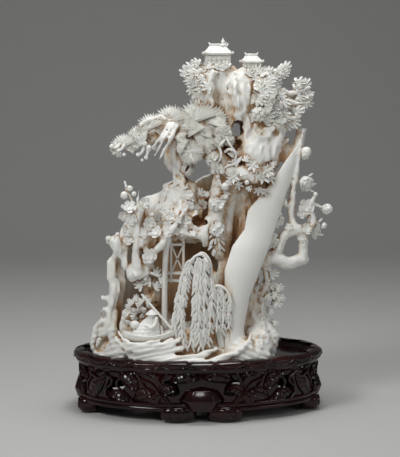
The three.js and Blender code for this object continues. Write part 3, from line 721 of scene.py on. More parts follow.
def bud_shape():
    """A bud of folded petals, with its stalk at the lower end."""
    made = fresh("bud", bpy.ops.mesh.primitive_uv_sphere_add, segments=20, ring_count=8, radius=1)
    for vertex in made.data.vertices:
        turn = math.atan2(vertex.co.y, vertex.co.x)
        fold = 1 + 0.34 * abs(math.sin(2.5 * turn + 1.6 * vertex.co.z)) ** 0.6 * (1 - vertex.co.z**2)
        taper = 0.74 if vertex.co.z > 0 else 0.74 - 0.2 * vertex.co.z**2
        vertex.co.x *= fold * taper
        vertex.co.y *= fold * taper
    return settled(made)


def leaf_shape(name, width):
    made = fresh(name, bpy.ops.mesh.primitive_ico_sphere_add, subdivisions=1, radius=1)
    bpy.ops.object.mode_set(mode="EDIT")
    bpy.ops.transform.resize(value=(width, 1, 0.6 * width), center_override=(0, 0, 0))
    bpy.ops.object.mode_set(mode="OBJECT")
    for vertex in made.data.vertices:
        vertex.co.y += 1
        vertex.co.z -= 0.12 * vertex.co.y**2
    return settled(made)


bud = bud_shape()
leaf = leaf_shape("leaf", 0.34)
willow_leaf = leaf_shape("willow_leaf", 0.27)
blossom_middle = spray("blossom_middle", 6, 2, [(1.0, 0.0), (0.7, 0.2)], dome=0.5, cup=0.4)
print("a bud has", triangles(bud), "triangles, a leaf", triangles(leaf))

# %% [markdown]
# A copy is placed by the direction that it faces and the direction that it grows in. Its place goes into its
# own mesh, so that its object stays at the origin.

# %% Place copies
growth = []
GOLDEN_TURN = 2.4


def heading(degrees):
    """The way that is turned so far to the right of upwards, as the viewer sees it."""
    turn = math.radians(degrees)
    return Vector((math.sin(turn), 0, math.cos(turn)))


def facing_matrix(facing, grows):
    z_axis = facing.normalized()
    x_axis = grows.cross(z_axis)
    if x_axis.length < 1e-4:
        x_axis = Vector((1, 0, 0))
    x_axis.normalize()
    return Matrix((x_axis, z_axis.cross(x_axis), z_axis)).transposed().to_4x4()


def grow(template, place, facing, size, grows=UP, flatten=1.0):
    copy = template.copy()
    copy.data = template.data.copy()
    bpy.context.collection.objects.link(copy)
    scale = Matrix.Diagonal((size * MM, size * MM, size * MM * flatten, 1))
    copy.data.transform(Matrix.Translation(place) @ facing_matrix(facing, grows) @ scale)
    growth.append(copy)
    return copy


def spread(count):
    """Directions spread evenly over a ball, by the golden angle."""
    golden = math.pi * (3 - math.sqrt(5))
    for k in range(count):
        z = 1 - 2 * (k + 0.5) / count
        ring = math.sqrt(1 - z * z)
        yield Vector((ring * math.cos(golden * k), ring * math.sin(golden * k), z))


HIDDEN_SIDE = -0.35


def cloud(template, centre, reach, count, size, facing=TOWARDS_VIEWER, seed=0, lean=0.9):
    """Copies over the side of a flattened ball that faces a way, each growing outwards."""
    chance = random.Random(seed)
    for out in spread(count):
        if out.dot(facing) < HIDDEN_SIDE:
            continue
        place = at(*centre) + Vector([o * r for o, r in zip(out, reach)]) * MM
        sway = Vector([chance.uniform(-0.25, 0.25) for _ in range(3)])
        look = (out * 0.7 + facing * lean + sway).normalized()
        outward = out - facing * out.dot(facing) + UP * 0.25
        grow(template, place, look, size * chance.uniform(0.82, 1.15), outward)


body_tree = BVHTree.FromObject(body, bpy.context.evaluated_depsgraph_get())


def on_body(x, z, from_y=-120.0):
    """Where a line from the viewer's side, or from behind, first meets the ivory, and the normal there."""
    way = Vector((0, -math.copysign(1, from_y), 0))
    return body_tree.ray_cast(at(x, from_y, z), way)[:2]


def twigs(paths, radii, steps=4):
    """Thin stems, each as thick at its points as the list says."""
    for path in paths:
        growth.append(stem(path, radii[: len(path)], roundness=1, steps=steps))


# %% [markdown]
# ## The old pine
# Its needles are carved as overlapping fans in flat layers, like plates of moss. Every needle could be a
# spike of its own, but the real ones are ridges cut into one plate. So each fan is half a ridged disc with a
# toothed rim, and a cluster has several, turned and tilted, one behind another. A row of a layer gives its
# turn, its shift across, behind and up in shares of the size, its share of the size, and the way it faces.

# %% Needle fans on the old pine
FAN_LAYERS = [
    (0, 0, 0, 0, 1, -1, 0.3), (-62, -0.25, 0.08, -0.14, 0.66, -1, 0), (58, 0.25, 0.08, -0.14, 0.66, -1, 0),
    (10, 0.1, 0.3, 0.08, 0.85, -1, 0.5),
]
FAR_LAYERS = [
    (0, 0, 0.6, 0.06, 0.8, -0.8, 0.6), (-30, -0.1, 0.9, -0.1, 0.75, 0.6, 0.9),
    (25, 0.1, 1.2, -0.1, 0.75, 1, 0.3),
]
PINE_CLUSTERS = [
    (-56, -21, 198, 11, -32), (-49, -20, 199, 6, 24), (-45, -19, 205, 10, -28), (-36, -20, 212, 12, -24),
    (-22, -19, 217, 13, -14), (-14, -21, 214, 10.5, 20), (-2, -19, 218, 17, -20), (8, -18, 217, 14, 34),
    (-8, -23, 211, 8.5, -8), (2, -23, 207, 8.5, 15), (-7, -25, 195, 11, 0), (9, -22, 209, 8, 40),
]
SINGLE_FANS = [
    (-7, -25, 193, 9, 150, 0), (-8, -25, 194, 9, -110, 0), (-5, -25, 194, 9, 100, 0),
    (-40, -22, 204, 7, -75, 0.2), (-44, -21, 203, 6, -120, 0), (-60, -21, 197, 6, -120, 0),
    (-15, -24, 203, 6, 30, 0.3), (6, -25, 200, 7, -10, 0.3), (-3, -25, 209, 8, -30, 0.4),
    (12, -24, 214, 8, 20, 0.5), (-12, -26, 198, 7, -60, 0.2), (-1, -24, 201, 7, 60, 0),
    (-13, -24, 204, 6, -50, 0.1),
]
FAR_CLUSTERS_ABOVE, FAR_CLUSTERS_FROM = 198, 8.5


def needle_cluster(x, y, z, size, lean, layers):
    for turn, across, behind, up, share, forwards, tilt in layers:
        angle = math.radians(lean + turn)
        grows = Vector((math.sin(angle), 0, math.cos(angle)))
        facing = Vector((0.25 * math.sin(angle) - 0.25, forwards, tilt + 0.15))
        place = at(x + across * size, y + behind * size, z + up * size)
        grow(needle_fan, place, facing, size * share, grows)


for x, y, z, size, lean in PINE_CLUSTERS:
    needle_cluster(x, y, z, size, lean, FAN_LAYERS)
    if z > FAR_CLUSTERS_ABOVE and size > FAR_CLUSTERS_FROM:
        needle_cluster(x + 2, y, z, size, lean, FAR_LAYERS)
for x, y, z, size, lean, tilt in SINGLE_FANS:
    needle_cluster(x, y, z, size, lean, [(0, 0, 0, 0, 1, -1, tilt)])
print("old pine:", len(growth), "needle fans")

# %% [markdown]
# Buds and cones hang below the far twigs. Each is a copy of the one bud, turned to face downwards.

# %% Cones below the pine
CONES = [
    (-64, -22, 198, 1.8), (-59, -22, 195, 1.6), (-55, -22, 192, 1.5), (-62, -21, 193, 1.2),
    (-45, -22, 192, 1.6), (-39, -22, 190, 1.8), (-42, -21, 188, 1.3), (-37, -22, 197, 2.2),
    (-33, -23, 197, 2), (-40, -22, 200, 2),
]
CONE_TWIGS = [
    [(-58, -20, 200), (-61, -22, 197), (-64, -22, 198)],
    [(-54, -20, 200), (-57, -22, 196), (-60, -22, 194)],
    [(-40, -20, 199), (-42, -22, 194), (-45, -22, 191)],
    [(-38, -20, 198), (-38, -22, 193), (-40, -22, 189)],
]
for x, y, z, size in CONES:
    grow(bud, at(x, y, z), Vector((0.2, -0.3, -1)), size)
twigs(CONE_TWIGS, [1.3, 1.1, 0.8], steps=3)
cloud(needle_fan, (-9, -15, 182), (3, 2, 4), 14, 4.5, seed=40, lean=0.5)
print("pine:", len(growth), "sprays so far")

# %% [markdown]
# ## The summit's trees
# Long leaves spread like hands from the ends of the boughs, at both sides of the halls. Scattering them at
# random would fill the gaps that the light comes through, so their places are given, and chance only turns
# them a little. Behind each stands one more, which closes the crown from the sides.

# %% Leaves round the summit
HANDS = [
    (63, -8, 254, 5.5, 40), (61, -9, 250, 5.5, 75), (57, -10, 248, 5.5, 10), (55, -12, 243, 5.5, 80),
    (72, -10, 243, 6.5, 40), (77, -9, 241, 7, 65), (78, -9, 235, 6.5, 90), (78, -9, 230, 6.5, 105),
    (74, -10, 229, 5.5, 140), (71, -10, 239, 5.5, 70), (72, -10, 234, 6, 95), (56, -13, 239, 5, 60),
    (57, -15, 234, 6.5, 80), (61, -14, 229, 6, 120), (70, -12, 222, 7.5, 70), (67, -12, 217, 7, 105),
    (60, -14, 222, 6.5, 100), (63, -12, 214, 6, 140), (54, -16, 227, 6, 70), (52, -16, 238, 6, 60),
    (57, -14, 215, 5.5, 130), (50, -18, 231, 5.5, 100), (47, -19, 240, 5.5, 130), (55, -15, 220, 5.5, 150),
    (49, -18, 246, 5, 90), (58, -12, 251, 5, 60), (-4, -10, 254, 6.5, -50), (-6, -9, 250, 6.5, -85),
    (-2, -12, 250, 6, -60), (-5, -10, 245, 6, -100), (0, -12, 243, 6, -70), (-4, -10, 241, 6, -120),
    (2, -14, 238, 6, -60), (0, -12, 235, 6, -130), (0, -10, 257, 6, -35), (6, -14, 234, 5.5, -160),
    (6, -14, 243, 5, -60), (8, -15, 249, 5, 0), (-2, -10, 247, 5, -20), (12, -15, 254, 4.5, 40),
    (21, -15, 255, 4.5, -30), (44, -14, 250, 4.5, 20), (51, -11, 251, 4.5, 50),
]
HAND_LAYERS = [(0, -1, 0.2), (2.5, -0.6, 0.9), (8, 0.4, 1), (13, 1, 0.3)]
chance = random.Random(17)
for k, (x, y, z, size, turn) in enumerate(HANDS):
    for behind, forwards, tilt in (HAND_LAYERS[0], HAND_LAYERS[1 + k % 3]):
        grows = heading(turn + chance.uniform(-25, 25))
        facing = Vector((chance.uniform(-0.3, 0.3), forwards, tilt))
        place = at(x - grows.x * 0.3 * behind, y + behind, z)
        grow(leaf_hand, place, facing, size * chance.uniform(0.85, 1.1), grows)
print("with the crown:", len(growth), "sprays")

# %% [markdown]
# Leaves also lie on the rock below the summit and fill the crown behind it. Those on the rock are dropped
# onto it along the viewer's line of sight, in a sunflower's spiral, which fills a patch evenly without rows.

# %% Leaves on the rock and behind the summit
ROCK_LEAVES = [
    (51, 236, 12, 14, 30, 75), (0, 243, 8, 10, 16, -75), (10, 254, 12, 2, 7, 10), (44, 250, 9, 3, 12, 20),
    (56, 219, 8, 6, 14, 100), (42, 221, 5, 4, 8, 150),
]
for middle_x, middle_z, reach_x, reach_z, count, turn in ROCK_LEAVES:
    for k in range(count):
        away = math.sqrt((k + 0.5) / count)
        x = middle_x + reach_x * away * math.cos(GOLDEN_TURN * k)
        z = middle_z + reach_z * away * math.sin(GOLDEN_TURN * k)
        place, normal = on_body(x, z)
        if place is None or place.y > 10 * MM:
            continue
        grows = heading(turn + chance.uniform(-50, 50))
        facing = normal + TOWARDS_VIEWER * 0.3 + UP * 0.4 - grows * 0.2
        template = needle_fan if k % 5 == 0 else leaf_hand
        grow(template, place - grows * 2 * MM + normal * 0.6 * MM, facing, chance.uniform(4.5, 7), grows)
cloud(leaf_rosette, (43, -22, 221), (4.5, 3.5, 4.5), 22, 2, seed=3)
BEHIND_THE_SUMMIT = [
    (53, 10, 240, 6, 9), (57, 10, 226, 6, 8), (36, 18, 238, 9, 12), (48, 14, 247, 7, 9), (14, 12, 248, 7, 9),
    (0, 6, 250, 6, 8), (54, 14, 220, 7, 9),
]
for k, (x, y, z, reach, count) in enumerate(BEHIND_THE_SUMMIT):
    cloud(leaf_hand, (x, y, z), (reach, reach * 0.6, reach * 0.8), count, 5, -TOWARDS_VIEWER, seed=k)
print("with the rock's leaves:", len(growth), "sprays")

# %% [markdown]
# Below the summit a bough crosses the front with needle tufts, curling twigs, lilies and buds in front of it.
# The lilies are two stars of six petals, one turned behind the other, round a raised middle.

# %% Tufts and flowers across the middle
TUFTS = [
    (17, -25, 208, 2.5, 5.5), (14, -26, 201, 2, 4.5), (21, -25, 202, 2, 4), (10, -26, 189, 2.5, 5.5),
    (12, -27, 182, 2, 4.5), (7, -24, 197, 2, 4.5),
]
for k, (x, y, z, reach, size) in enumerate(TUFTS):
    cloud(needle_fan, (x, y, z), (reach * 0.6,) * 3, 11, size * 1.1, seed=60 + k, lean=0.3)
TWIGS = [
    [(19, -24, 206), (20, -28, 202), (25, -27, 195), (28, -25, 192)],
    [(13, -24, 198), (15, -29, 194), (14, -29, 188), (10, -26, 186)],
    [(18, -25, 194), (22, -29, 196), (26, -28, 192), (24, -26, 187), (20, -27, 187)],
    [(30, -24, 190), (27, -27, 186), (20, -28, 184), (15, -26, 180)],
]
twigs(TWIGS, [1.1, 0.9, 0.8, 0.7, 0.6])
LILIES = [
    (46, -27, 176, 6.5, 0.25, 0.1), (49, -26, 180, 6, 0.4, 0.3), (43, -28, 166, 5, 0, -0.8),
    (47, -26, 165, 4.5, 0.3, -0.7), (38, -28, 184, 5.5, -0.1, 0.2), (52, -24, 175, 5.5, 0.6, 0),
    (41, -28, 176, 4.5, -0.5, -0.3), (24, -28, 176, 6, -0.2, 0.1), (30, -27, 180, 5, 0.1, 0.5),
    (28, -27, 170, 4.5, 0.2, -0.5),
]
MIDDLE_BUDS = [
    (16, -27, 180, 2.3), (18, -28, 169, 3.2), (13, -26, 176, 1.8), (18, -25, 161, 2.6), (34, -28, 172, 2),
]
MIDDLE_LEAVES = [
    (22, -26, 191, 4, 40), (28, -27, 186, 4.5, -60), (33, -27, 187, 4, 20), (20, -28, 174, 4, 150),
    (34, -26, 179, 4.5, 80), (15, -27, 172, 4, -100), (25, -25, 183, 4, 10), (20, -26, 165, 3.6, -150),
    (35, -27, 169, 3.4, 160), (52, -22, 184, 4, 60),
]
for k, (x, y, z, size, turn_x, turn_z) in enumerate(LILIES):
    facing = Vector((turn_x, -1, turn_z))
    grow(star_flower, at(x, y, z), facing, size, Vector((math.sin(k), 0, 1)))
    grow(star_flower, at(x, y + 1.2, z), facing, size * 0.9, Vector((math.sin(k + 0.8), 0, 0.6)))
    grow(blossom_middle, at(x, y - 0.4, z), facing, 1.1)
for x, y, z, size in MIDDLE_BUDS:
    grow(bud, at(x, y, z), Vector((-0.6, -1, 0.3)), size)
for x, y, z, size, turn in MIDDLE_LEAVES:
    grow(leaf_hand, at(x, y, z), Vector((0.1, -1, 0.3)), size, heading(turn))
print("with the middle:", len(growth), "sprays")

# %% [markdown]
# ## Plum blossom
# A plum blossom is a shallow cup of five round petals with a raised middle. The open ones are two cups deep,
# the half-open ones are the same cups drawn out long, and the closed ones are buds. One small function sets a
# whole flower, because every flower of the trees is made of the same three parts.

# %% Blossoms on the plum trees and the column


def plum_blossom(x, y, z, size, facing=TOWARDS_VIEWER, spin=UP):
    place = at(x, y, z)
    side = Vector((math.sin(x), 0, math.cos(x)))
    grow(blossom, place, facing, size, spin)
    grow(blossom, place + facing.normalized() * 0.1 * size * MM, facing, size * 0.62, side)
    grow(blossom_middle, place - facing.normalized() * 0.16 * size * MM, facing, 0.3 * size, spin)


RIGHT_BLOSSOMS = [
    (79, -17, 153, 6, (0.1, -1, 0.2)), (76, -17, 148, 4, (-0.4, -1, -0.3)),
    (83, -16, 143, 4, (0.6, -1, -0.2)), (86, -17, 135, 6.4, (0.9, -0.8, -0.1)),
    (88, -15, 138, 5, (1, -0.3, 0.4)), (80, -18, 137, 4.5, (0.2, -1, 0.3)),
    (58, -19, 142, 5, (0.6, -1, -0.5)), (60, -18, 145, 4, (0.8, -0.6, 0.4)),
    (53, -22, 129, 5.6, (0.4, -1, -0.1)), (56, -20, 126, 4, (0.9, -0.7, -0.4)),
    (62, -18, 157, 2.6, (0, -1, 0)), (61, -18, 162, 2.6, (0.3, -1, 0)), (63, -17, 168, 2.4, (0.2, -1, 0)),
    (76, -17, 130, 3.4, (-0.3, -1, 0)), (66, -17, 138, 3.2, (-0.6, -1, 0.4)),
]
for x, y, z, size, facing in RIGHT_BLOSSOMS:
    plum_blossom(x, y, z, size, Vector(facing))
RIGHT_BUDS = [
    (79, -13, 193, 4.4, (0.5, -0.4, 1)), (79, -14, 171, 5.4, (0.3, -0.8, -0.5)),
    (95, -13, 151, 4.4, (1, -0.3, -0.3)), (59, -19, 148, 1.8, (0, -1, 0)), (86, -15, 162, 1.8, (0.4, 0, 1)),
    (93, -14, 139, 2.2, (1, 0, 0.4)),
]
HALF_OPEN = [
    (79, -15, 170, 6, (0.5, -0.7, -0.5)), (78, -14, 190.5, 3.4, (-0.2, -0.5, -1)),
    (94, -13, 151, 4, (1, -0.6, 0)),
]
TWIG_LEAVES = [(83, 166, 120), (84, 169, 80), (82, 175, 60), (90, 133, 110), (92, 137, 80), (90, 141, 50)]
for x, y, z, size, facing in RIGHT_BUDS:
    grow(bud, at(x, y, z), Vector(facing), size)
for x, y, z, size, facing in HALF_OPEN:
    for inward, share in ((0, 1), (0.3, 0.86)):
        place = at(x, y, z) + Vector(facing) * inward * size * MM
        grow(blossom, place, Vector(facing), size * share, Vector((0.3 + 6 * inward, 0, 1)), 2.4)
for x, z, turn in TWIG_LEAVES:
    grow(leaf, at(x - 2, -15, z), TOWARDS_VIEWER, 2.6, heading(turn))
print("with the right-hand plum:", len(growth), "sprays")

# %% [markdown]
# The plum at the left is an older tree, close to the rock, with a few large flowers and small buds at its
# tips.

# %% Blossoms on the left-hand plum
LEFT_BLOSSOMS = [
    (-51, -33, 155, 5), (-40, -33, 158, 4.2), (-50, -33, 146, 4.6), (-53, -31, 138, 4.6),
    (-52, -31, 131, 4.4), (-37, -36, 120, 5.6), (-37, -34, 143, 5), (-33, -34, 137, 5), (-41, -32, 136, 4.4),
    (-56, -30, 148, 3.6),
]
for k, (x, y, z, size) in enumerate(LEFT_BLOSSOMS):
    plum_blossom(x, y, z, size, Vector((0.35 * math.sin(2.4 * k), -1, 0.2 + 0.35 * math.cos(1.7 * k))))
LEFT_BUDS = [
    (-51, -30, 168, 2.4), (-55, -30, 163, 3.2), (-48, -30, 164, 2), (-56, -31, 155, 1.8),
    (-67, -24, 131, 2.2), (-35, -31, 149, 1.6), (-60, -25, 134, 2),
]
for x, y, z, size in LEFT_BUDS:
    grow(bud, at(x, y, z), Vector((-0.3, -0.6, 0.8)), size)
print("with the left-hand plum:", len(growth), "sprays")

# %% [markdown]
# Round heads of many small flowers climb the thin column between the boulder and the mountain. Each head is a
# ball with flowers spread evenly over its front, and narrow leaves hang below the lowest one.

# %% Round flower heads on the column


def flower_head(centre, radius, count, size, seed):
    grow(bud, at(*centre), TOWARDS_VIEWER, radius * 0.9)
    cloud(blossom, centre, (radius, radius, radius), count, size, seed=seed, lean=0.2)


flower_head((12, -27, 156), 4.6, 22, 2.8, 5)
flower_head((18, -27, 161), 2.2, 8, 2, 8)
flower_head((12, -28, 138), 4.6, 20, 2.8, 6)
for k in range(14):
    swing, drop = math.sin(GOLDEN_TURN * k), math.cos(GOLDEN_TURN * k)
    grows = Vector((swing, 0, -0.9 + 0.4 * drop))
    grow(leaf, at(12 + 3 * swing, -28, 136 - k), Vector((0.4 * swing, -1, 0.1)), 3, grows)
print("with the column:", len(growth), "sprays")

# %% [markdown]
# The boulder's face is covered with leaves and flowers in low relief, cut round its two dark hollows. They
# are copies laid on the surface where the viewer's line of sight meets it, some of them flattened to a third.

# %% Relief on the boulder
BOULDER_HOLLOWS = [(0, 143, 8), (-20, 155, 4)]
chance = random.Random(11)
for k in range(64):
    x = -14 + 20 * math.sin(GOLDEN_TURN * k) * math.sqrt(chance.random())
    z = 151 + 18 * math.cos(GOLDEN_TURN * k) * math.sqrt(chance.random())
    place, normal = on_body(x, z)
    near_hollow = any(math.hypot(x - hole_x, z - hole_z) < reach for hole_x, hole_z, reach in BOULDER_HOLLOWS)
    if place is None or place.y > 5 * MM or near_hollow:
        continue
    facing = (normal + TOWARDS_VIEWER * 0.3).normalized()
    grows = Vector((chance.uniform(-1, 1), 0, chance.uniform(-0.4, 1)))
    if k % 4 == 0:
        grow(blossom, place + normal * 0.3 * MM, facing, chance.uniform(3, 4.2), grows, 0.35)
    elif k % 4 == 1:
        grow(leaf_hand, place + normal * 0.2 * MM, facing, chance.uniform(3.6, 5), grows, 0.35)
    else:
        grow(leaf, place - normal * 0.3 * MM, facing, chance.uniform(2, 3.4), grows)
BOULDER_BLOSSOMS = [(-21, -28, 147, 4.4), (-11, -29, 144, 4.4), (-9, -26, 163, 3.6), (5, -22, 163, 2.4)]
for x, y, z, size in BOULDER_BLOSSOMS:
    plum_blossom(x, y, z, size, Vector((0.1, -1, 0.3)))
BOULDER_EDGE = [(-17, 173), (-22, 170), (-26, 165), (-29, 159), (-32, 152)]
for inset in (0, 2.2):
    places = [on_body(x + inset, z - inset)[0] for x, z in BOULDER_EDGE]
    if all(place is not None for place in places):
        twigs([places], [0.7] * len(places))
print("sprays in all:", len(growth))

# %% [markdown]
# ## Willow, bushes and the right-hand pine
# The willow hangs in strands, each a cord of narrow leaves that lie over one another like ears of wheat. A
# strand could be one stem with a pattern on it, but the real leaves stand free at their tips. So pairs of
# leaves are set along every strand, with a third one in the middle of every second pair.

# %% The willow
WILLOW_STEMS = [
    ([(16, -33, 52), (12, -34, 78), (8, -36, 98), (6, -37, 110), (4, -38, 119)], [4, 3, 2, 1.6, 1.5]),
    ([(6, -38, 100), (7, -39, 112), (4, -40, 120), (0, -40, 122), (-4, -40, 118)], [1.2, 1.1, 1, 1, 0.8]),
    ([(4, -40, 118), (-1, -41, 121), (-8, -41, 116), (-12, -41, 111)], [1.1, 1, 1, 0.8]),
    ([(2, -41, 118), (4, -42, 116), (3, -42, 110), (0, -42, 106)], [1.3, 1.2, 1, 0.8]),
    ([(7, -39, 96), (13, -40, 98), (19, -40, 94), (22, -40, 85)], [1.5, 1.2, 1, 0.8]),
    ([(9, -39, 93), (14, -40, 94), (17, -40, 88)], [1.2, 1, 0.8]),
]
STRANDS = [
    ([(-9, -42, 117), (-13, -42, 106), (-16, -42, 93), (-18, -42, 80), (-19, -42, 68), (-15, -42, 54)],
     3.5, 18),
    ([(-8, -43, 115), (-11, -43, 105), (-13, -44, 92), (-15, -44, 79), (-14, -44, 67), (-12, -43, 55)],
     3.5, 17),
    ([(-2, -43, 119), (-3, -44, 106), (-4, -45, 92), (-4, -45, 79), (-5, -44, 66), (-8, -43, 56)], 3.6, 19),
    ([(0, -43, 118), (-1, -44, 105), (-2, -45, 92), (-2, -45, 79), (-2, -45, 66), (0, -44, 54)], 3.6, 19),
    ([(2, -43, 116), (3, -44, 104), (2, -44, 92), (2, -44, 80), (2, -44, 68), (4, -43, 57)], 3.4, 17),
    ([(7, -42, 104), (8, -43, 94), (7, -43, 83), (6, -43, 72), (5, -42, 60)], 3.2, 13),
    ([(9, -41, 98), (12, -41, 90), (12, -41, 80), (11, -41, 68)], 3.1, 10),
    ([(14, -40, 97), (16, -40, 88), (16, -40, 78), (15, -39, 64)], 3.0, 11),
    ([(19, -39, 94), (21, -39, 85), (20, -39, 76), (20, -38, 66)], 2.9, 9),
]
thin = [stem(points, radii, roundness=1, steps=4) for points, radii in WILLOW_STEMS]
chance = random.Random(7)
for path, size, pairs in STRANDS:
    thin.append(stem(path, [0.8] * len(path), roundness=1, steps=3))
    for k in range(pairs):
        place = at(*[along(axis, k / pairs) for axis in zip(*path)])
        for side in (-1, 1, 0.1) if k % 2 else (-1, 1):
            down = Vector((0.75 * side + chance.uniform(-0.15, 0.15), -0.35, -1))
            offset = Vector((0.3 * side, -0.4, chance.uniform(-1, 1))) * MM
            facing = Vector((0.5 * side, -1, 0.3))
            grow(willow_leaf, place + offset, facing, size * chance.uniform(1, 1.25), down)
for k in range(26):
    swing, lift = math.sin(1.9 * k), math.cos(1.9 * k)
    place = at(-3 + 6 * swing, -44 + 0.1 * k, 116 + 3.5 * lift)
    grow(willow_leaf, place, Vector((0.3 * swing, -1, 0.3)), 3, Vector((swing, -0.2, -0.8)))
print("with the willow:", len(growth), "sprays and", len(thin), "stems")

# %% [markdown]
# Bushes grow on the rocks beside the grotto, and at the right a small pine climbs past the blade. The bushes
# are balls of leaves. The pine's leaves stand out from its stem in three rows, in front, above and behind, so
# that it is round when seen from the side.

# %% Bushes and the right-hand pine
BUSHES = [
    ((-41, -31, 84), (3.5, 3, 3.5), 18, 3.2), ((-48, -31, 83), (3.5, 3, 4), 20, 3.2),
    ((-52, -31, 74), (3.5, 3, 4), 20, 3.2), ((-45, -29, 77), (3.5, 3, 3.5), 14, 3),
]
GROTTO_LEAVES = [
    (-38, 104, -60), (-33, 104, 20), (-30, 100, 70), (-36, 100, -90), (-42, 96, -70), (-34, 95, 60),
]
for seed, (centre, reach, count, size) in enumerate(BUSHES, 21):
    cloud(leaf_hand, centre, reach, count, size, seed=seed)
for k, (x, z, turn) in enumerate(GROTTO_LEAVES):
    grow(leaf_hand, at(x, -29 + 0.5 * k, z), Vector((0, -1, 0.4)), 5.5, heading(turn))
RIGHT_LEAVES = [
    (52, -18, 103, 6, 80), (50, -19, 106, 4.5, 20), (49, -18, 98, 4, 120), (52, -18, 94, 4.5, 70),
    (57, -17, 93, 5, 85), (54, -18, 88, 5, 95), (58, -17, 86, 5, 100), (56, -17, 82, 5, 110),
    (50, -19, 88, 4, 150), (47, -19, 86, 3.5, 200), (52, -17, 75, 3.5, 90), (55, -18, 66, 3.5, 80),
    (44, -19, 92, 4, -60),
]
for x, y, z, size, turn in RIGHT_LEAVES:
    for place, facing in (
        ((x, y, z), (0.1, -1, 0.4)),
        ((x - 1, y + 4, z + 1), (0.1, -0.3, 1)),
        ((x - 1, y + 8, z), (0.1, 1, 0.4)),
    ):
        grow(leaf_hand, at(*place), Vector(facing), size, heading(turn))
for k in range(18):
    x, z = 44 + 13 * math.sin(1.9 * k) ** 2, 52 + 1.4 * k
    place, normal = on_body(x, z)
    if place is not None and place.y < 5 * MM:
        grow(leaf_rosette, place + normal * MM * 0.2, normal + TOWARDS_VIEWER, 2.2, UP, 0.7)
print("with the bushes:", len(growth), "sprays")

# %% [markdown]
# The back is smooth tusk with one low tree. Its pads of needles are thin clouds of the same fans, set a
# millimetre off the surface, and plainer than those in front.

# %% Sprays on the back
BACK_PADS = [
    (-32, 112, 10), (-20, 124, 9), (-8, 134, 10), (-10, 98, 8), (24, 136, 10), (34, 124, 8), (14, 116, 8),
]
for k, (x, z, reach) in enumerate(BACK_PADS):
    place, normal = on_body(x, z, from_y=120.0)
    if place is None:
        continue
    centre = ((place.x - STAND_X) / MM, place.y / MM + 1, z)
    cloud(needle_fan, centre, (reach, 2.5, reach * 0.6), 14, 5.5, -TOWARDS_VIEWER, seed=50 + k)
LEAF_KINDS = (needle_fan, leaf_rosette, leaf_hand, leaf, willow_leaf)
FLOWER_KINDS = (blossom, star_flower, bud, blossom_middle)
for template in LEAF_KINDS + FLOWER_KINDS:
    bpy.data.objects.remove(template)
greenery = joined("greenery", [*growth, *thin])
print("leaves and flowers:", triangles(greenery), "triangles")

# %% [markdown]
# ## Buildings
# Two halls stand on the summit under hipped roofs with lifted corners, and a stilt house with a braced window
# stands in the grotto.

# %% The summit halls


def post(start, end, half_width):
    """A square bar between two places."""
    a, b = at(*start), at(*end)
    bar = fresh("post", bpy.ops.mesh.primitive_cube_add, size=1, location=(0, 0, 0))
    across = UP if abs((b - a).normalized().z) < 0.9 else TOWARDS_VIEWER
    size = Matrix.Diagonal((2 * half_width * MM, 2 * half_width * MM, (b - a).length, 1))
    bar.data.transform(Matrix.Translation((a + b) / 2) @ facing_matrix(b - a, across) @ size)
    return shaped(bar, "BEVEL", width=0.25 * half_width * MM, segments=2)


HIP = 2.1
TILE_RELIEF = 0.3
TILE_ROWS = 12
CORNER_LIFT = 1.6
ROOF_THICKNESS = 1.3


def roof(x, y, eaves, half_width, half_depth, height):
    """A hipped roof whose corners turn up, with raised rows of tiles and a ridge."""
    add = bpy.ops.mesh.primitive_grid_add
    sheet = fresh("roof", add, x_subdivisions=28, y_subdivisions=16, size=2, location=(0, 0, 0))
    for vertex in settled(sheet).data.vertices:
        u, v = vertex.co.x, vertex.co.y
        hip = min((1 - abs(u)) * HIP, 1 - abs(v), 1)
        slope = height * max(hip, 0) ** 1.25
        corner = (abs(u) * abs(v)) ** 5
        down_the_slope = u if 1 - abs(v) < HIP * (1 - abs(u)) else v
        tiles = TILE_RELIEF * math.cos(down_the_slope * TILE_ROWS * math.pi) * min(1, 6 * (1 - abs(v)))
        z = eaves + slope + CORNER_LIFT * corner + tiles
        vertex.co = at(x + u * half_width, y + v * half_depth, z)
    return settled(shaped(sheet, "SOLIDIFY", thickness=ROOF_THICKNESS * MM, offset=-1))


POSTS = 6
POST_HALF, RAIL_HALF, RIDGE_HALF = 0.55, 0.5, 0.8


def hall(x, y, floor_z, half_width, half_depth, wall, roof_height):
    """A hall of posts round a plain core, under its roof."""
    core = fresh("core", bpy.ops.mesh.primitive_cube_add, size=1, location=at(x, y, floor_z + wall / 2))
    core.scale = (2 * half_width * MM, 2 * half_depth * MM, (wall + 2) * MM)
    eaves = floor_z + wall
    lintel = eaves - 0.8
    left, right = x - half_width, x + half_width
    front, back = y - half_depth, y + half_depth
    parts = [settled(core), roof(x, y, eaves, half_width * 1.28, half_depth * 1.35, roof_height)]
    for face in (front, back):
        for i in range(POSTS):
            px = x + half_width * (i / 2.5 - 1)
            parts.append(post((px, face, floor_z - 1), (px, face, eaves), POST_HALF))
        for rail in (floor_z + 0.6, floor_z + 0.4 * wall, lintel):
            parts.append(post((left, face, rail), (right, face, rail), RAIL_HALF))
    for end in (left, right):
        parts.append(post((end, front, lintel), (end, back, lintel), RAIL_HALF))
    ridge = eaves + roof_height + 0.4
    parts.append(post((x - half_width * 0.72, y, ridge), (x + half_width * 0.72, y, ridge), RIDGE_HALF))
    for side in (-1, 1):
        horn = [(x + side * half_width * 0.6, y, ridge), (x + side * half_width * 0.78, y, ridge + 1.6)]
        parts.append(stem(horn, [0.9, 0.4]))
    return parts


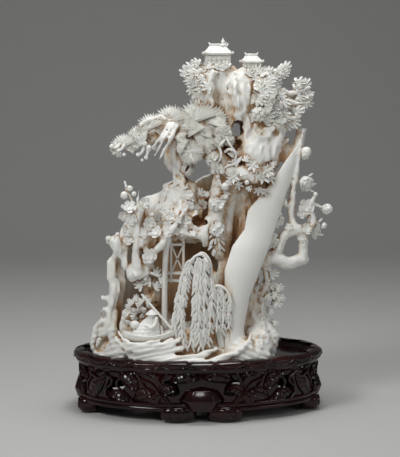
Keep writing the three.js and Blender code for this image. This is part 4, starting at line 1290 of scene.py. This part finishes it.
halls = [*hall(14, -5, 258, 8.6, 6.5, 7.5, 6), *hall(39, -5, 253, 6.4, 5.5, 6.5, 4.8)]
FINIAL = [(269, 2.4), (270.4, 1.4), (271.6, 2.4), (272.8, 1.2), (274, 1.7), (275.4, 0.8), (SUMMIT, 0.15)]
finial = [crag("finial", [(z, 18, -5, radius, radius) for z, radius in FINIAL], sides=10)]
for side in (-1, 1):
    finial.append(stem([(18, -5, 270.5), (18 + 2.6 * side, -5, 271), (18 + 4 * side, -5, 273)],
                       [1.1, 0.9, 0.4]))
print("halls:", len(halls), "parts, and", len(finial), "of the finial")

# %% [markdown]
# A house on stilts stands in the shade of the grotto, with a window braced like a cross. Its posts are square
# bars set between named places, so that the braces meet the corners of their frame exactly.

# %% The stilt house
LEFT, RIGHT, SILL, HEAD, HOUSE_Y = -21, -12, 105, 126, -22
HOUSE_BARS = [
    (RIGHT, 54, RIGHT, 132, 0.9), (LEFT, 98, LEFT, 132, 0.7), (LEFT - 4, SILL, RIGHT + 1, SILL, 1.1),
    (LEFT - 3, SILL - 5, RIGHT - 1, SILL - 6, 1.0), (LEFT, HEAD, RIGHT, HEAD, 0.9),
    (LEFT, SILL, RIGHT, HEAD, 0.6), (RIGHT, SILL, LEFT, HEAD, 0.6),
]
stilts = [stem([(-26, -26, 54), (-26, -27, 90), (-25, -28, 122), (-24, -28, 132)], [2.4, 2.1, 2.2, 3.4])]
stilts += [post((x0, HOUSE_Y, z0), (x1, HOUSE_Y, z1), half) for x0, z0, x1, z1, half in HOUSE_BARS]
print("stilt house:", len(stilts), "posts and bars")

# %% [markdown]
# ## The boat
# The hull is bent from a grid, wider in the middle, with raised ends, and climbs a wave towards the right.
# The boatman sits under a straw cape and a flat hat. The cape is a grid rolled into a cone of tiers, because
# its silhouette is all that shows at this size. The face is calm and plain, half in the hat's shade.

# %% The boat and the boatman
HULL_X0, HULL_X1, HULL_Y = -56, -15, -38


def swell(u):
    """How full the boat is, from 0 at its ends to 1 in its middle."""
    return math.sin(math.pi * min(max(u, 0.01), 0.99)) ** 0.7


def hull_shape(u, v):
    """u runs from stern to bow and v from one gunwale under the keel to the other."""
    turn = math.pi * (v - 0.5)
    beam = 1.2 + 6.5 * swell(u)
    rise = 4.5 * (2 * u - 1) ** 2 + 3 * u
    depth = 6.5 * max(math.cos(turn), 0) ** 0.8
    return at(HULL_X0 + (HULL_X1 - HULL_X0) * u, HULL_Y + beam * math.sin(turn), 61 + rise - depth)


def deck_shape(u, v):
    """Planks laid a little under the gunwale."""
    beam = (1 + 5.6 * swell(u)) * (2 * v - 1)
    rise = 4.0 * (2 * u - 1) ** 2 + 3 * u
    x = HULL_X0 + 1.5 + (HULL_X1 - HULL_X0 - 3) * u
    return at(x, HULL_Y + beam, 59.8 + rise + 0.25 * abs(math.sin(4 * math.pi * v)))


def cape_shape(u, v):
    """A straw cape of overlapping tiers, leaning forwards, wide at the hem."""
    turn = 2 * math.pi * u
    reach = 2.2 + 8.4 * (1 - v) ** 0.75
    tiers = 0.55 * abs(math.sin(5.5 * math.pi * v + 0.3 * math.sin(turn)))
    straw = 0.22 * math.cos(34 * turn / 2)
    x = -41 + (reach + tiers + straw) * 1.05 * math.cos(turn) + 5.5 * v
    return at(x, -38 + 0.66 * (reach + tiers + straw) * math.sin(turn), 61 + 14 * v)


HAT_LEVELS = [(77.4, -35.6, -38.6, 4.6, 4.4), (78.2, -35.6, -38.6, 4.2, 4), (81.5, -35.2, -38.4, 0.4, 0.4)]
boat = [
    skin("hull", 30, 12, hull_shape, 1.5),
    skin("deck", 24, 12, deck_shape, 1.0),
    skin("cape", 90, 26, cape_shape, 0.9),
    boulder_at((-36, -39, 76.5), (2.5, 2.7, 3.1), "head"),
    crag("hat", HAT_LEVELS, sides=18),
    stem([(-43, -37, 92), (-30, -40, 77), (-16, -41, 61)], [0.8, 0.9, 0.8]),
    stem([(-40, -42, 70), (-35, -44, 69), (-32, -42, 76)], [1.6, 1.4, 1.1]),
    stem([(-29, -39, 69), (-28, -39, 62)], [1.0, 1.1]),
    boulder_at((-48, -39, 70), (3.4, 3, 3)),
]

# %% [markdown]
# ## One piece of ivory
# The carving is kept as three meshes, its solid forms, its leaves and its buildings, so that each stays light.
# The places that see little of the sky are darkened in the colour, partly as the patina that old ivory takes
# where no hand polishes it and partly as painted shade. The shader has a node for that, but it works only
# while a picture is rendered, so the count is made here and kept on the mesh: short rays from every point tell
# how much of the sky it sees, and the colour follows them.

# %% Measure how sheltered each point is
buildings = joined("buildings", [*halls, *finial, *stilts, *boat])
print("buildings and boat:", triangles(buildings), "triangles")
ivory = body
ivory.name = "ivory_carving"
leaves = greenery
leaves.name = "ivory_leaves"
buildings.name = "ivory_buildings"
# The second number scales how much painted shade and patina each piece takes from its sky count; the third is
# its crease angle.
PIECES = [(ivory, 1.0, 40), (leaves, 0.42, 28), (buildings, 0.35, 40)]
for piece, _, crease in PIECES:
    only(piece)
    bpy.ops.object.shade_smooth_by_angle(angle=math.radians(crease))

SHELTER_REACH = 38 * MM
SHELTER_RAYS = 30
RAY_LIFT = 0.3
GRAZING = 0.15
# Extra painted shade and patina deep in the grotto.
GROTTO_PATINA_AND_SHADE = 0.55
ray_ways = list(spread(SHELTER_RAYS))


def tree_of(*objects):
    places, faces = [], []
    for obj in objects:
        first = len(places)
        places += [vertex.co for vertex in obj.data.vertices]
        faces += [[first + k for k in polygon.vertices] for polygon in obj.data.polygons]
    return BVHTree.FromPolygons(places, faces, epsilon=0.0)


def in_grotto(place):
    """How deep a place lies in the grotto, where the colour is darkened more, as patina and painted shade."""
    x, y, z = (place - at(-16, 20, 98)) / MM
    return max(0, 1 - (x / 40) ** 2 - (y / 38) ** 2 - (z / 44) ** 2)


# The share of the sky that each point does not see, which darkens its colour as painted shade and patina.
def sheltered(obj, tree):
    shares = []
    for vertex in obj.data.vertices:
        start = vertex.co + vertex.normal * RAY_LIFT * MM
        hits = total = 0
        for way in ray_ways:
            if way.dot(vertex.normal) < GRAZING:
                continue
            total += 1
            distance = tree.ray_cast(start, way, SHELTER_REACH)[3]
            hits += 0 if distance is None else 1 - 0.5 * distance / SHELTER_REACH
        grotto = in_grotto(vertex.co) if vertex.normal.y < 0.3 else 0
        shares.append(hits / max(total, 1) + GROTTO_PATINA_AND_SHADE * grotto)
    return shares


whole_tree = tree_of(ivory, leaves, buildings)
# The counts are kept on each mesh and darken its colour as painted shade and patina.
for piece, share, _ in PIECES:
    shelter = piece.data.attributes.new("shelter", "FLOAT", "POINT")
    values = sheltered(piece, whole_tree)
    shelter.data.foreach_set("value", [share * value for value in values])
    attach(piece, "root")
    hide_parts("ivory_landscape")
    print(piece.name, triangles(piece), "triangles")

# %% [markdown]
# ## The stand
# An oval ring with a seat board, an apron pierced between vines and leaves, four knees and eight scrolled
# toes. The ring is drawn up like a rock, through the levels of its profile: it starts at the roof of the
# hollow under the seat, goes down inside, up over the beads and the rim, and ends in the sunk seat.

# %% The ring and its seat
OVAL_HALF_WIDTH = 92.5
OVAL_HALF_DEPTH = 56
RING_PROFILE = [
    (34, 10), (8, 10), (8, 3.6), (8.6, 1.9), (9.8, 1.5), (11, 1.9), (11.5, 2.6), (12.1, 1.8), (13.3, 1.5),
    (14.4, 2.0), (15, 3.6), (34.6, 3.6), (35.6, 2.4), (37, 1), (38.8, 0.2), (40.6, 0.3), (42.2, 1.2),
    (43, 2.6), (43, 6), (40, 7.6),
]
ring_levels = [(z, 0, 0, OVAL_HALF_WIDTH - inset, OVAL_HALF_DEPTH - inset) for z, inset in RING_PROFILE]
ring = crag("ring", ring_levels, sides=120)
print("ring:", triangles(ring), "triangles")

# %% [markdown]
# The pattern is easiest to draw on the apron rolled out flat: s runs round it in millimetres, from the middle
# of the front to the right. `on_apron` bends that strip back round the oval.

# %% The apron rolled out
APRON_INSET = 3.6


def measured_round(steps=1440):
    lengths, angles = [0.0], [-math.pi / 2]
    for k in range(1, steps + 1):
        angle = -math.pi / 2 + 2 * math.pi * k / steps
        dx = OVAL_HALF_WIDTH * (math.cos(angle) - math.cos(angles[-1]))
        dy = OVAL_HALF_DEPTH * (math.sin(angle) - math.sin(angles[-1]))
        lengths.append(lengths[-1] + math.hypot(dx, dy))
        angles.append(angle)
    return lengths, angles


ROUND_LENGTHS, ROUND_ANGLES = measured_round()
ROUND = ROUND_LENGTHS[-1]


def on_apron(s, z, out=0.0):
    k = min(bisect.bisect_right(ROUND_LENGTHS, s % ROUND), len(ROUND_LENGTHS) - 1)
    part = (s % ROUND - ROUND_LENGTHS[k - 1]) / (ROUND_LENGTHS[k] - ROUND_LENGTHS[k - 1])
    angle = ROUND_ANGLES[k - 1] * (1 - part) + ROUND_ANGLES[k] * part
    outward = Vector((math.cos(angle) / OVAL_HALF_WIDTH, math.sin(angle) / OVAL_HALF_DEPTH, 0)).normalized()
    edge = at(OVAL_HALF_WIDTH * math.cos(angle), OVAL_HALF_DEPTH * math.sin(angle), z)
    return edge + outward * (out - APRON_INSET) * MM


def quarters():
    """Where each quarter starts, at the middle of the front or of the back, and the way that it runs."""
    for quarter in range(4):
        yield (quarter // 2) * ROUND / 2, 1 if quarter % 2 else -1


print(f"the stand is {ROUND:.0f} mm round")

# %% [markdown]
# A leaf is a grid cut to a pointed outline, domed, with a raised midrib and rim. The same outline, made
# thick, cuts the gaps through the apron.

# %% Leaves and gaps


def leaf_on_apron(s, z, length, width, turn, rise=1.5, out=0.0, thickness=1.4, plain=False):
    level, steep = math.cos(math.radians(turn)), math.sin(math.radians(turn))

    def shape(u, v):
        side = 2 * v - 1
        across = side * width / 2 * max(math.sin(math.pi * u), 0.03) ** 0.75
        across += 0.1 * length * math.sin(math.pi * u)
        distance = (u - 0.5) * length
        rib = 0.9 * math.exp(-((side / 0.16) ** 2)) + 0.7 * math.exp(-(((abs(side) - 0.88) / 0.12) ** 2))
        veins = 0.25 * math.cos(9 * math.pi * (u + 0.25 * abs(side))) * (1 - side**2)
        height = 0 if plain else rise * (1 - 0.6 * side**2) * math.sin(math.pi * u) ** 0.6 + rib + veins
        leaf_s = s + distance * level - across * steep
        return on_apron(leaf_s, z + distance * steep + across * level, out + height)

    return skin("stand_leaf", 22, 14, shape, thickness)


GAP_PLACES = (24, 67, 101)
GAP_HEIGHT, GAP_LENGTH, GAP_WIDTH = 24, 17, 12
GAP_TURNS = (20, -10)
THROUGH_APRON = {"rise": 0, "out": -3, "thickness": 22, "plain": True}
gaps = []
for start, way in quarters():
    for k, place in enumerate(GAP_PLACES):
        turn = way * GAP_TURNS[k % 2]
        gap = leaf_on_apron(start + way * place, GAP_HEIGHT, GAP_LENGTH, GAP_WIDTH, turn, **THROUGH_APRON)
        gaps.append(gap)
cutter = joined("cutter", gaps)
shaped(ring, "BOOLEAN", object=cutter, operation="DIFFERENCE", solver="EXACT")
bpy.data.objects.remove(cutter)
print("pierced ring:", triangles(ring), "triangles")

# %% [markdown]
# A vine winds over the apron between the gaps, with veined leaves that stand out from it. One quarter of it
# is drawn from a foot towards the next, each stem a few places on the rolled-out strip, and the loop mirrors
# it into the other three.

# %% The vine on the apron
VINE = [
    [(20, 41), (26, 36), (29, 28), (28, 21), (23, 13)],
    [(50, 39), (46, 32), (37, 28), (31, 21), (25, 13)],
    [(46, 31), (42, 25), (38, 20), (38, 14)],
    [(62, 40), (60, 34), (65, 27), (58, 20), (50, 13)],
    [(79, 40), (75, 33), (69, 29), (75, 20), (70, 13)],
    [(97, 40), (90, 31), (95, 22), (88, 14)],
    [(95, 26), (103, 24), (110, 30), (112, 38)],
    [(75, 32), (82, 29), (88, 31)],
    [(29, 27), (34, 33), (41, 36), (47, 35)],
]
VINE_LEAVES = [
    (12, 32, 24, 9, -8), (56, 29, 21, 9, 40), (43, 19, 17, 8, -20), (84, 21, 22, 11, -50),
    (103, 31, 17, 8, 35), (64, 17, 17, 7, 15), (36, 35, 15, 6, 15), (72, 36, 15, 6, -12), (88, 35, 14, 6, 10),
    (33, 17, 14, 7, -60), (106, 18, 15, 8, 60), (53, 36, 12, 5, -10), (25, 23, 14, 7, -25),
]
VINE_RADII = [1.5, 1.2, 1.1, 1.0, 1.2]
VINE_OUT = 0.8
stand_parts = [ring]
for start, way in quarters():
    for points in VINE:
        places = [on_apron(start + way * s, z, VINE_OUT) for s, z in points]
        stand_parts.append(stem(places, VINE_RADII[: len(places)], steps=6, name="vine"))
    for k, (s, z, length, width, turn) in enumerate(VINE_LEAVES):
        stand_parts.append(leaf_on_apron(start + way * s, z, length, width, way * turn, out=0.2 * (k % 3)))
print("vine:", len(stand_parts) - 1, "stems and leaves")

# %% [markdown]
# Pointed leaves lie along the rim like plates. Each follows the rim's own profile over its edge, and both of
# its sides curve to its tips.

# %% Leaves along the rim
RIM_LEAVES = 24
RIM_OUT = [4.4, 4.7, 4.5, 2.4, -1, -3.5]
RIM_Z = [39.6, 41.2, 43.0, 44.4, 45.0, 44.6]
RIM_MIDDLE = 0.45


def rim_leaf(s, length, lift):
    def shape(u, v):
        reach = RIM_MIDDLE + (v - RIM_MIDDLE) * max(math.sin(math.pi * u), 0.04) ** 0.7
        edge = abs(v - RIM_MIDDLE) / max(RIM_MIDDLE, 1 - RIM_MIDDLE)
        border = 0.55 * math.exp(-(((edge - 0.85) / 0.13) ** 2)) + 0.4 * math.exp(-((edge / 0.12) ** 2))
        z = along(RIM_Z, reach) + lift * u
        return on_apron(s + (u - 0.5) * length, z, along(RIM_OUT, reach) + border)

    return skin("rim_leaf", 24, 13, shape, 1.0)


chance = random.Random(3)
for k in range(RIM_LEAVES):
    length = ROUND / RIM_LEAVES * chance.uniform(0.95, 1.3)
    stand_parts.append(rim_leaf(ROUND * k / RIM_LEAVES, length, 0.6 * (k % 2)))
print("rim:", RIM_LEAVES, "leaves")

# %% [markdown]
# Each foot has a knee under the apron, cut in flat facets, and two toes that curl outwards, with a spiral on
# each. A knee is a ball of very few sides, so its facets come by themselves. A toe is a ball pushed towards a
# block, so that it is round and still lies flat on the table.

# %% Knees and toes
TOE_SQUARENESS = 0.74
TOE_HALF_HEIGHT = 6.4
KNEE_HEIGHT = 17
KNEE_SWELLING = (1, 1.15, 1.2)
CURL_POINTS = 13


def set_under(block, middle, along_way, out_way, half_sizes, swelling=(1, 1, 1), spin=0.0):
    """Sizes a block, turns it to follow the stand's edge and sets it in its place."""
    turn = Matrix((along_way, out_way, UP)).transposed().to_4x4()
    size = Matrix.Diagonal([half * MM * more for half, more in zip(half_sizes, swelling)] + [1])
    block.data.transform(Matrix.Translation(middle) @ turn @ size @ Matrix.Rotation(spin, 4, "Z"))
    return block


def toe(middle, along_way, out_way, half_sizes):
    """A swollen lump between a ball and a block."""
    block = fresh("toe", bpy.ops.mesh.primitive_uv_sphere_add, segments=48, ring_count=24, radius=1)
    for vertex in block.data.vertices:
        vertex.co = Vector([math.copysign(abs(c) ** TOE_SQUARENESS, c) for c in vertex.co])
    return settled(set_under(block, middle, along_way, out_way, half_sizes))


def knee(middle, along_way, out_way, half_sizes):
    """A six-sided ball whose upper facets catch the light."""
    block = fresh("knee", bpy.ops.mesh.primitive_uv_sphere_add, segments=6, ring_count=4, radius=1)
    set_under(block, middle, along_way, out_way, half_sizes, KNEE_SWELLING, math.radians(30))
    return settled(shaped(block, "BEVEL", width=0.5 * MM, segments=2, limit_method="NONE"))


def curl_on(middle, along_way, out_way, side, half_depth):
    """The spiral on a toe's face, which winds inwards as it thins."""
    places = []
    for k in range(CURL_POINTS):
        turn = math.radians(200 - 42 * k)
        size = (4.6 - 0.3 * k) * MM
        offset = along_way * side * size * math.cos(turn) * 1.25 + UP * size * math.sin(turn)
        places.append(middle + along_way * side * 2.5 * MM + offset + out_way * (half_depth - 0.9) * MM)
    return stem(places, [1.0 - 0.04 * k for k in range(CURL_POINTS)], steps=3, name="curl")


def foot(degrees, knee_inset, knee_sizes, toe_inset, toe_gap, toe_sizes):
    angle = math.radians(degrees)
    out_way = Vector((math.cos(angle), math.sin(angle), 0))
    along_way = Vector((-math.sin(angle), math.cos(angle), 0))
    reach = OVAL_HALF_WIDTH if abs(out_way.x) > 0.5 else OVAL_HALF_DEPTH
    knee_place = at(0, 0, KNEE_HEIGHT) + out_way * (reach - knee_inset) * MM
    parts = [knee(knee_place, along_way, out_way, knee_sizes)]
    for side in (-1, 1):
        middle = at(0, 0, TOE_HALF_HEIGHT) + out_way * (reach - toe_inset) * MM
        middle = middle + along_way * side * toe_gap * MM
        parts.append(toe(middle, along_way, out_way, (*toe_sizes, TOE_HALF_HEIGHT)))
        parts.append(curl_on(middle, along_way, out_way, side, toe_sizes[1]))
    return parts


for degrees in (-90, 90):
    stand_parts += foot(degrees, 4.5, (17, 8, 8.6), 8.5, 17, (13, 7.6))
for degrees in (0, 180):
    stand_parts += foot(degrees, 7, (17, 7.6, 8.6), 10, 12, (9.6, 8))
stand = joined("rosewood_stand", stand_parts)
only(stand)
bpy.ops.object.shade_smooth_by_angle(angle=math.radians(38))
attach(stand, "root")
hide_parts("carved_stand")
print("stand:", triangles(stand), "triangles")

# %% [markdown]
# ## Finishes
# Shader maths is written as ordinary sums: `Shade` wraps a socket, and adding or multiplying two of them adds
# the Math node. Every other node comes from `Finish.node`.

# %% Sums on sockets


class Shade:
    def __init__(self, tree, socket):
        self.tree = tree
        self.socket = socket

    def maths(self, operation, first, second):
        node = self.tree.nodes.new("ShaderNodeMath")
        node.operation = operation
        for slot, value in zip(node.inputs, (first, second)):
            feed(self.tree, slot, value)
        return Shade(self.tree, node.outputs[0])

    def __add__(self, other):
        return self.maths("ADD", self, other)

    def __radd__(self, other):
        return self.maths("ADD", other, self)

    def __sub__(self, other):
        return self.maths("SUBTRACT", self, other)

    def __rsub__(self, other):
        return self.maths("SUBTRACT", other, self)

    def __mul__(self, other):
        return self.maths("MULTIPLY", self, other)

    def __rmul__(self, other):
        return self.maths("MULTIPLY", other, self)


def feed(tree, slot, value):
    if isinstance(value, Shade):
        tree.links.new(value.socket, slot)
    else:
        slot.default_value = value


class Finish:
    def __init__(self, name):
        self.material = bpy.data.materials.new(name)
        self.material.use_nodes = True
        self.tree = self.material.node_tree
        self.shader = self.tree.nodes["Principled BSDF"]

    def node(self, kind, settings=None, sockets=None, output=0):
        """Adds a node. A ramp's stops are a setting: a list of places and colours."""
        node = self.tree.nodes.new(kind)
        for setting, value in (settings or {}).items():
            if setting == "stops":
                ramp = node.color_ramp.elements
                while len(ramp) < len(value):
                    ramp.new(0.5)
                for stop, (place, colour) in zip(ramp, value):
                    stop.position = place
                    stop.color = colour
            else:
                setattr(node, setting, value)
        for slot, value in (sockets or {}).items():
            feed(self.tree, node.inputs[slot], value)
        return Shade(self.tree, node.outputs[output])

    def set(self, **sockets):
        for slot, value in sockets.items():
            feed(self.tree, self.shader.inputs[slot.replace("_", " ")], value)


# %% [markdown]
# Old ivory is nearly white where it is handled and goes through cream to tan and umber in the deep places;
# here that darkening is partly patina and partly painted shade. One ramp does both: it reads the count of the
# sky kept on the mesh, moved a little by a broad drift and by a fine grain along the tusk. A light bump and a
# little scattering under the surface take away the look of plaster.

# %% Polished ivory
WHITE = (0.84, 0.84, 0.8, 1)
CREAM = (0.73, 0.67, 0.57, 1)
TAN = (0.52, 0.33, 0.18, 1)
UMBER = (0.24, 0.11, 0.04, 1)


def ivory_finish():
    finish = Finish("polished_ivory")
    place = finish.node("ShaderNodeTexCoord", output=3)
    deep = finish.node("ShaderNodeAttribute", {"attribute_name": "shelter"}, output=2)
    drift = finish.node("ShaderNodeTexNoise", {}, {"Vector": place, "Scale": 45.0, "Detail": 4.0})
    lengthwise = finish.node("ShaderNodeMapping", {}, {"Vector": place, "Scale": (900.0, 900.0, 60.0)})
    grain = finish.node("ShaderNodeTexNoise", {}, {"Vector": lengthwise, "Scale": 1.0, "Detail": 2.0})
    # Painted shade and patina: the sky count darkens the colour through cream and tan to umber in the
    # recesses.
    patina_and_shade = deep + (drift - 0.5) * 0.35 + (grain - 0.5) * 0.06
    stops = [(0.0, WHITE), (0.22, WHITE), (0.39, CREAM), (0.57, TAN), (0.85, UMBER)]
    colour = finish.node("ShaderNodeValToRGB", {"stops": stops}, {"Fac": patina_and_shade})
    fine = finish.node("ShaderNodeTexNoise", {}, {"Vector": place, "Scale": 1400.0, "Detail": 3.0})
    relief = fine * 0.5 + grain * 0.5
    bump = finish.node("ShaderNodeBump", {}, {"Height": relief, "Strength": 0.12, "Distance": 0.0006})
    finish.set(Base_Color=colour, Roughness=0.48 + 0.17 * deep, Normal=bump)
    finish.set(Coat_Weight=0.05, Coat_Roughness=0.25, IOR=1.54, Specular_IOR_Level=0.4)
    finish.set(Subsurface_Weight=0.12, Subsurface_Scale=0.003, Subsurface_Radius=(1.0, 0.75, 0.5))
    return finish.material


polished_ivory = ivory_finish()
for piece, _, _ in PIECES:
    piece.data.materials.clear()
    piece.data.materials.append(polished_ivory)

# %% [markdown]
# The rosewood is so dark that its carving shows only in its gloss. So its colour stays almost black, with a
# trace of red in the figure, and a clear coat over it gives the sharp lights of a waxed polish.

# %% Polished rosewood
ROSEWOOD_DARK = (0.0025, 0.0008, 0.0008, 1)
ROSEWOOD_RED = (0.03, 0.0035, 0.003, 1)


def rosewood_finish():
    finish = Finish("polished_rosewood")
    place = finish.node("ShaderNodeTexCoord", output=3)
    stretched = finish.node("ShaderNodeMapping", {}, {"Vector": place, "Scale": (30.0, 140.0, 260.0)})
    figure = finish.node("ShaderNodeTexNoise", {}, {"Vector": stretched, "Scale": 1.0, "Detail": 5.0})
    patches = finish.node("ShaderNodeTexNoise", {}, {"Vector": place, "Scale": 35.0, "Detail": 2.0})
    stops = [(0.35, ROSEWOOD_DARK), (0.75, ROSEWOOD_RED)]
    colour = finish.node("ShaderNodeValToRGB", {"stops": stops}, {"Fac": figure * 0.6 + patches * 0.4})
    bump = finish.node("ShaderNodeBump", {}, {"Height": figure, "Strength": 0.08, "Distance": 0.0005})
    finish.set(Base_Color=colour, Roughness=0.09 + 0.14 * figure, Normal=bump)
    finish.set(Coat_Weight=0.3, Coat_Roughness=0.06, Specular_IOR_Level=0.25)
    return finish.material


stand.data.materials.clear()
stand.data.materials.append(rosewood_finish())
print("finishes:", polished_ivory.name, "and", stand.data.materials[0].name)

# %% [markdown]
# ## The studio
# A plain pale floor runs up into a backdrop. Soft lamps stand at the upper left, in front, at the right and
# above, the first and the last the strongest, so that the relief throws short shadows down and to the right.

# %% Floor and lamps
FLOOR_SIZE = (6, 3, 1)
BACKDROP_HEIGHT = 2.5
BACKDROP_CURVE = 0.6
PAPER = (0.5, 0.5, 0.49, 1)


def stage_floor():
    floor = fresh("floor", bpy.ops.mesh.primitive_plane_add, size=1, location=(0, 0, 0))
    floor.scale = FLOOR_SIZE
    settled(floor)
    bpy.ops.object.mode_set(mode="EDIT")
    bpy.ops.mesh.select_mode(type="EDGE")
    bpy.ops.mesh.select_all(action="DESELECT")
    bpy.ops.object.mode_set(mode="OBJECT")
    for edge in floor.data.edges:
        edge.select = all(floor.data.vertices[k].co.y > 1 for k in edge.vertices)
    bpy.ops.object.mode_set(mode="EDIT")
    bpy.ops.mesh.extrude_region_move(TRANSFORM_OT_translate={"value": (0, 0, BACKDROP_HEIGHT)})
    bpy.ops.object.mode_set(mode="OBJECT")
    shaped(floor, "BEVEL", width=BACKDROP_CURVE, segments=12)
    for polygon in floor.data.polygons:
        polygon.use_smooth = True
    finish = Finish("pale_paper")
    finish.set(Base_Color=PAPER, Roughness=0.9)
    floor.data.materials.append(finish.material)
    floor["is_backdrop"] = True


LAMP_AIM = Vector((0, 0, 0.14))
LAMPS = [
    ("key", (-0.58, -0.62, 0.8), (0.3, 0.3), 4.6),
    ("front", (0.0, -0.9, 0.6), (0.18, 0.18), 1.0),
    ("fill", (0.8, -0.6, 0.35), (0.4, 0.4), 0.6),
    ("top", (0.05, -0.05, 0.9), (0.35, 0.3), 3.6),
]
ROOM_COLOUR = (0.94, 0.93, 0.92, 1)
ROOM_LIGHT = 0.13


def soft_lamp(name, place, size, power):
    lamp = fresh(name, bpy.ops.object.light_add, type="AREA", location=place)
    lamp.data.shape = "RECTANGLE"
    lamp.data.size, lamp.data.size_y = size
    lamp.data.energy = power
    lamp.rotation_euler = (LAMP_AIM - Vector(place)).to_track_quat("-Z", "Y").to_euler()


stage_floor()
for name, place, size, power in LAMPS:
    soft_lamp(name, place, size, power)
world = bpy.data.worlds.new("studio")
bpy.context.scene.world = world
world.use_nodes = True
background = world.node_tree.nodes["Background"]
background.inputs["Color"].default_value = ROOM_COLOUR
background.inputs["Strength"].default_value = ROOM_LIGHT
print("studio:", len(LAMPS), "lamps")

# %% [markdown]
# The camera looks from the photograph's angle, a little from the left and a little from above. Its place is
# worked out from that angle and its distance, and a long lens from far back keeps the upright lines upright.

# %% The camera
CAMERA_AZIMUTH = math.radians(-3)
CAMERA_ELEVATION = math.radians(6)
CAMERA_DISTANCE = 952 * MM
CAMERA_AIM = at(1.3, 0, 135.5)
level = math.cos(CAMERA_ELEVATION)
rise = math.sin(CAMERA_ELEVATION)
back = Vector((math.sin(CAMERA_AZIMUTH) * level, -math.cos(CAMERA_AZIMUTH) * level, rise))
only()
bpy.ops.object.camera_add(location=CAMERA_AIM + back * CAMERA_DISTANCE)
camera = bpy.context.object
camera.rotation_euler = (-back).to_track_quat("-Z", "Y").to_euler()
camera.data.lens = 100
camera.data.sensor_width = 36
bpy.context.scene.camera = camera
bpy.context.scene.view_settings.view_transform = "Standard"
print("camera:", camera.data.lens, "mm lens at", CAMERA_DISTANCE, "m")

# %% [markdown]
# The closing cell gives how large the CAD model and the finished pieces are, so that the two can be compared.

# %% Measure and finish


def plain(box):
    return [list(corner) for corner in box]


{"cad": plain(cad_box), "visual": plain(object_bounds())}
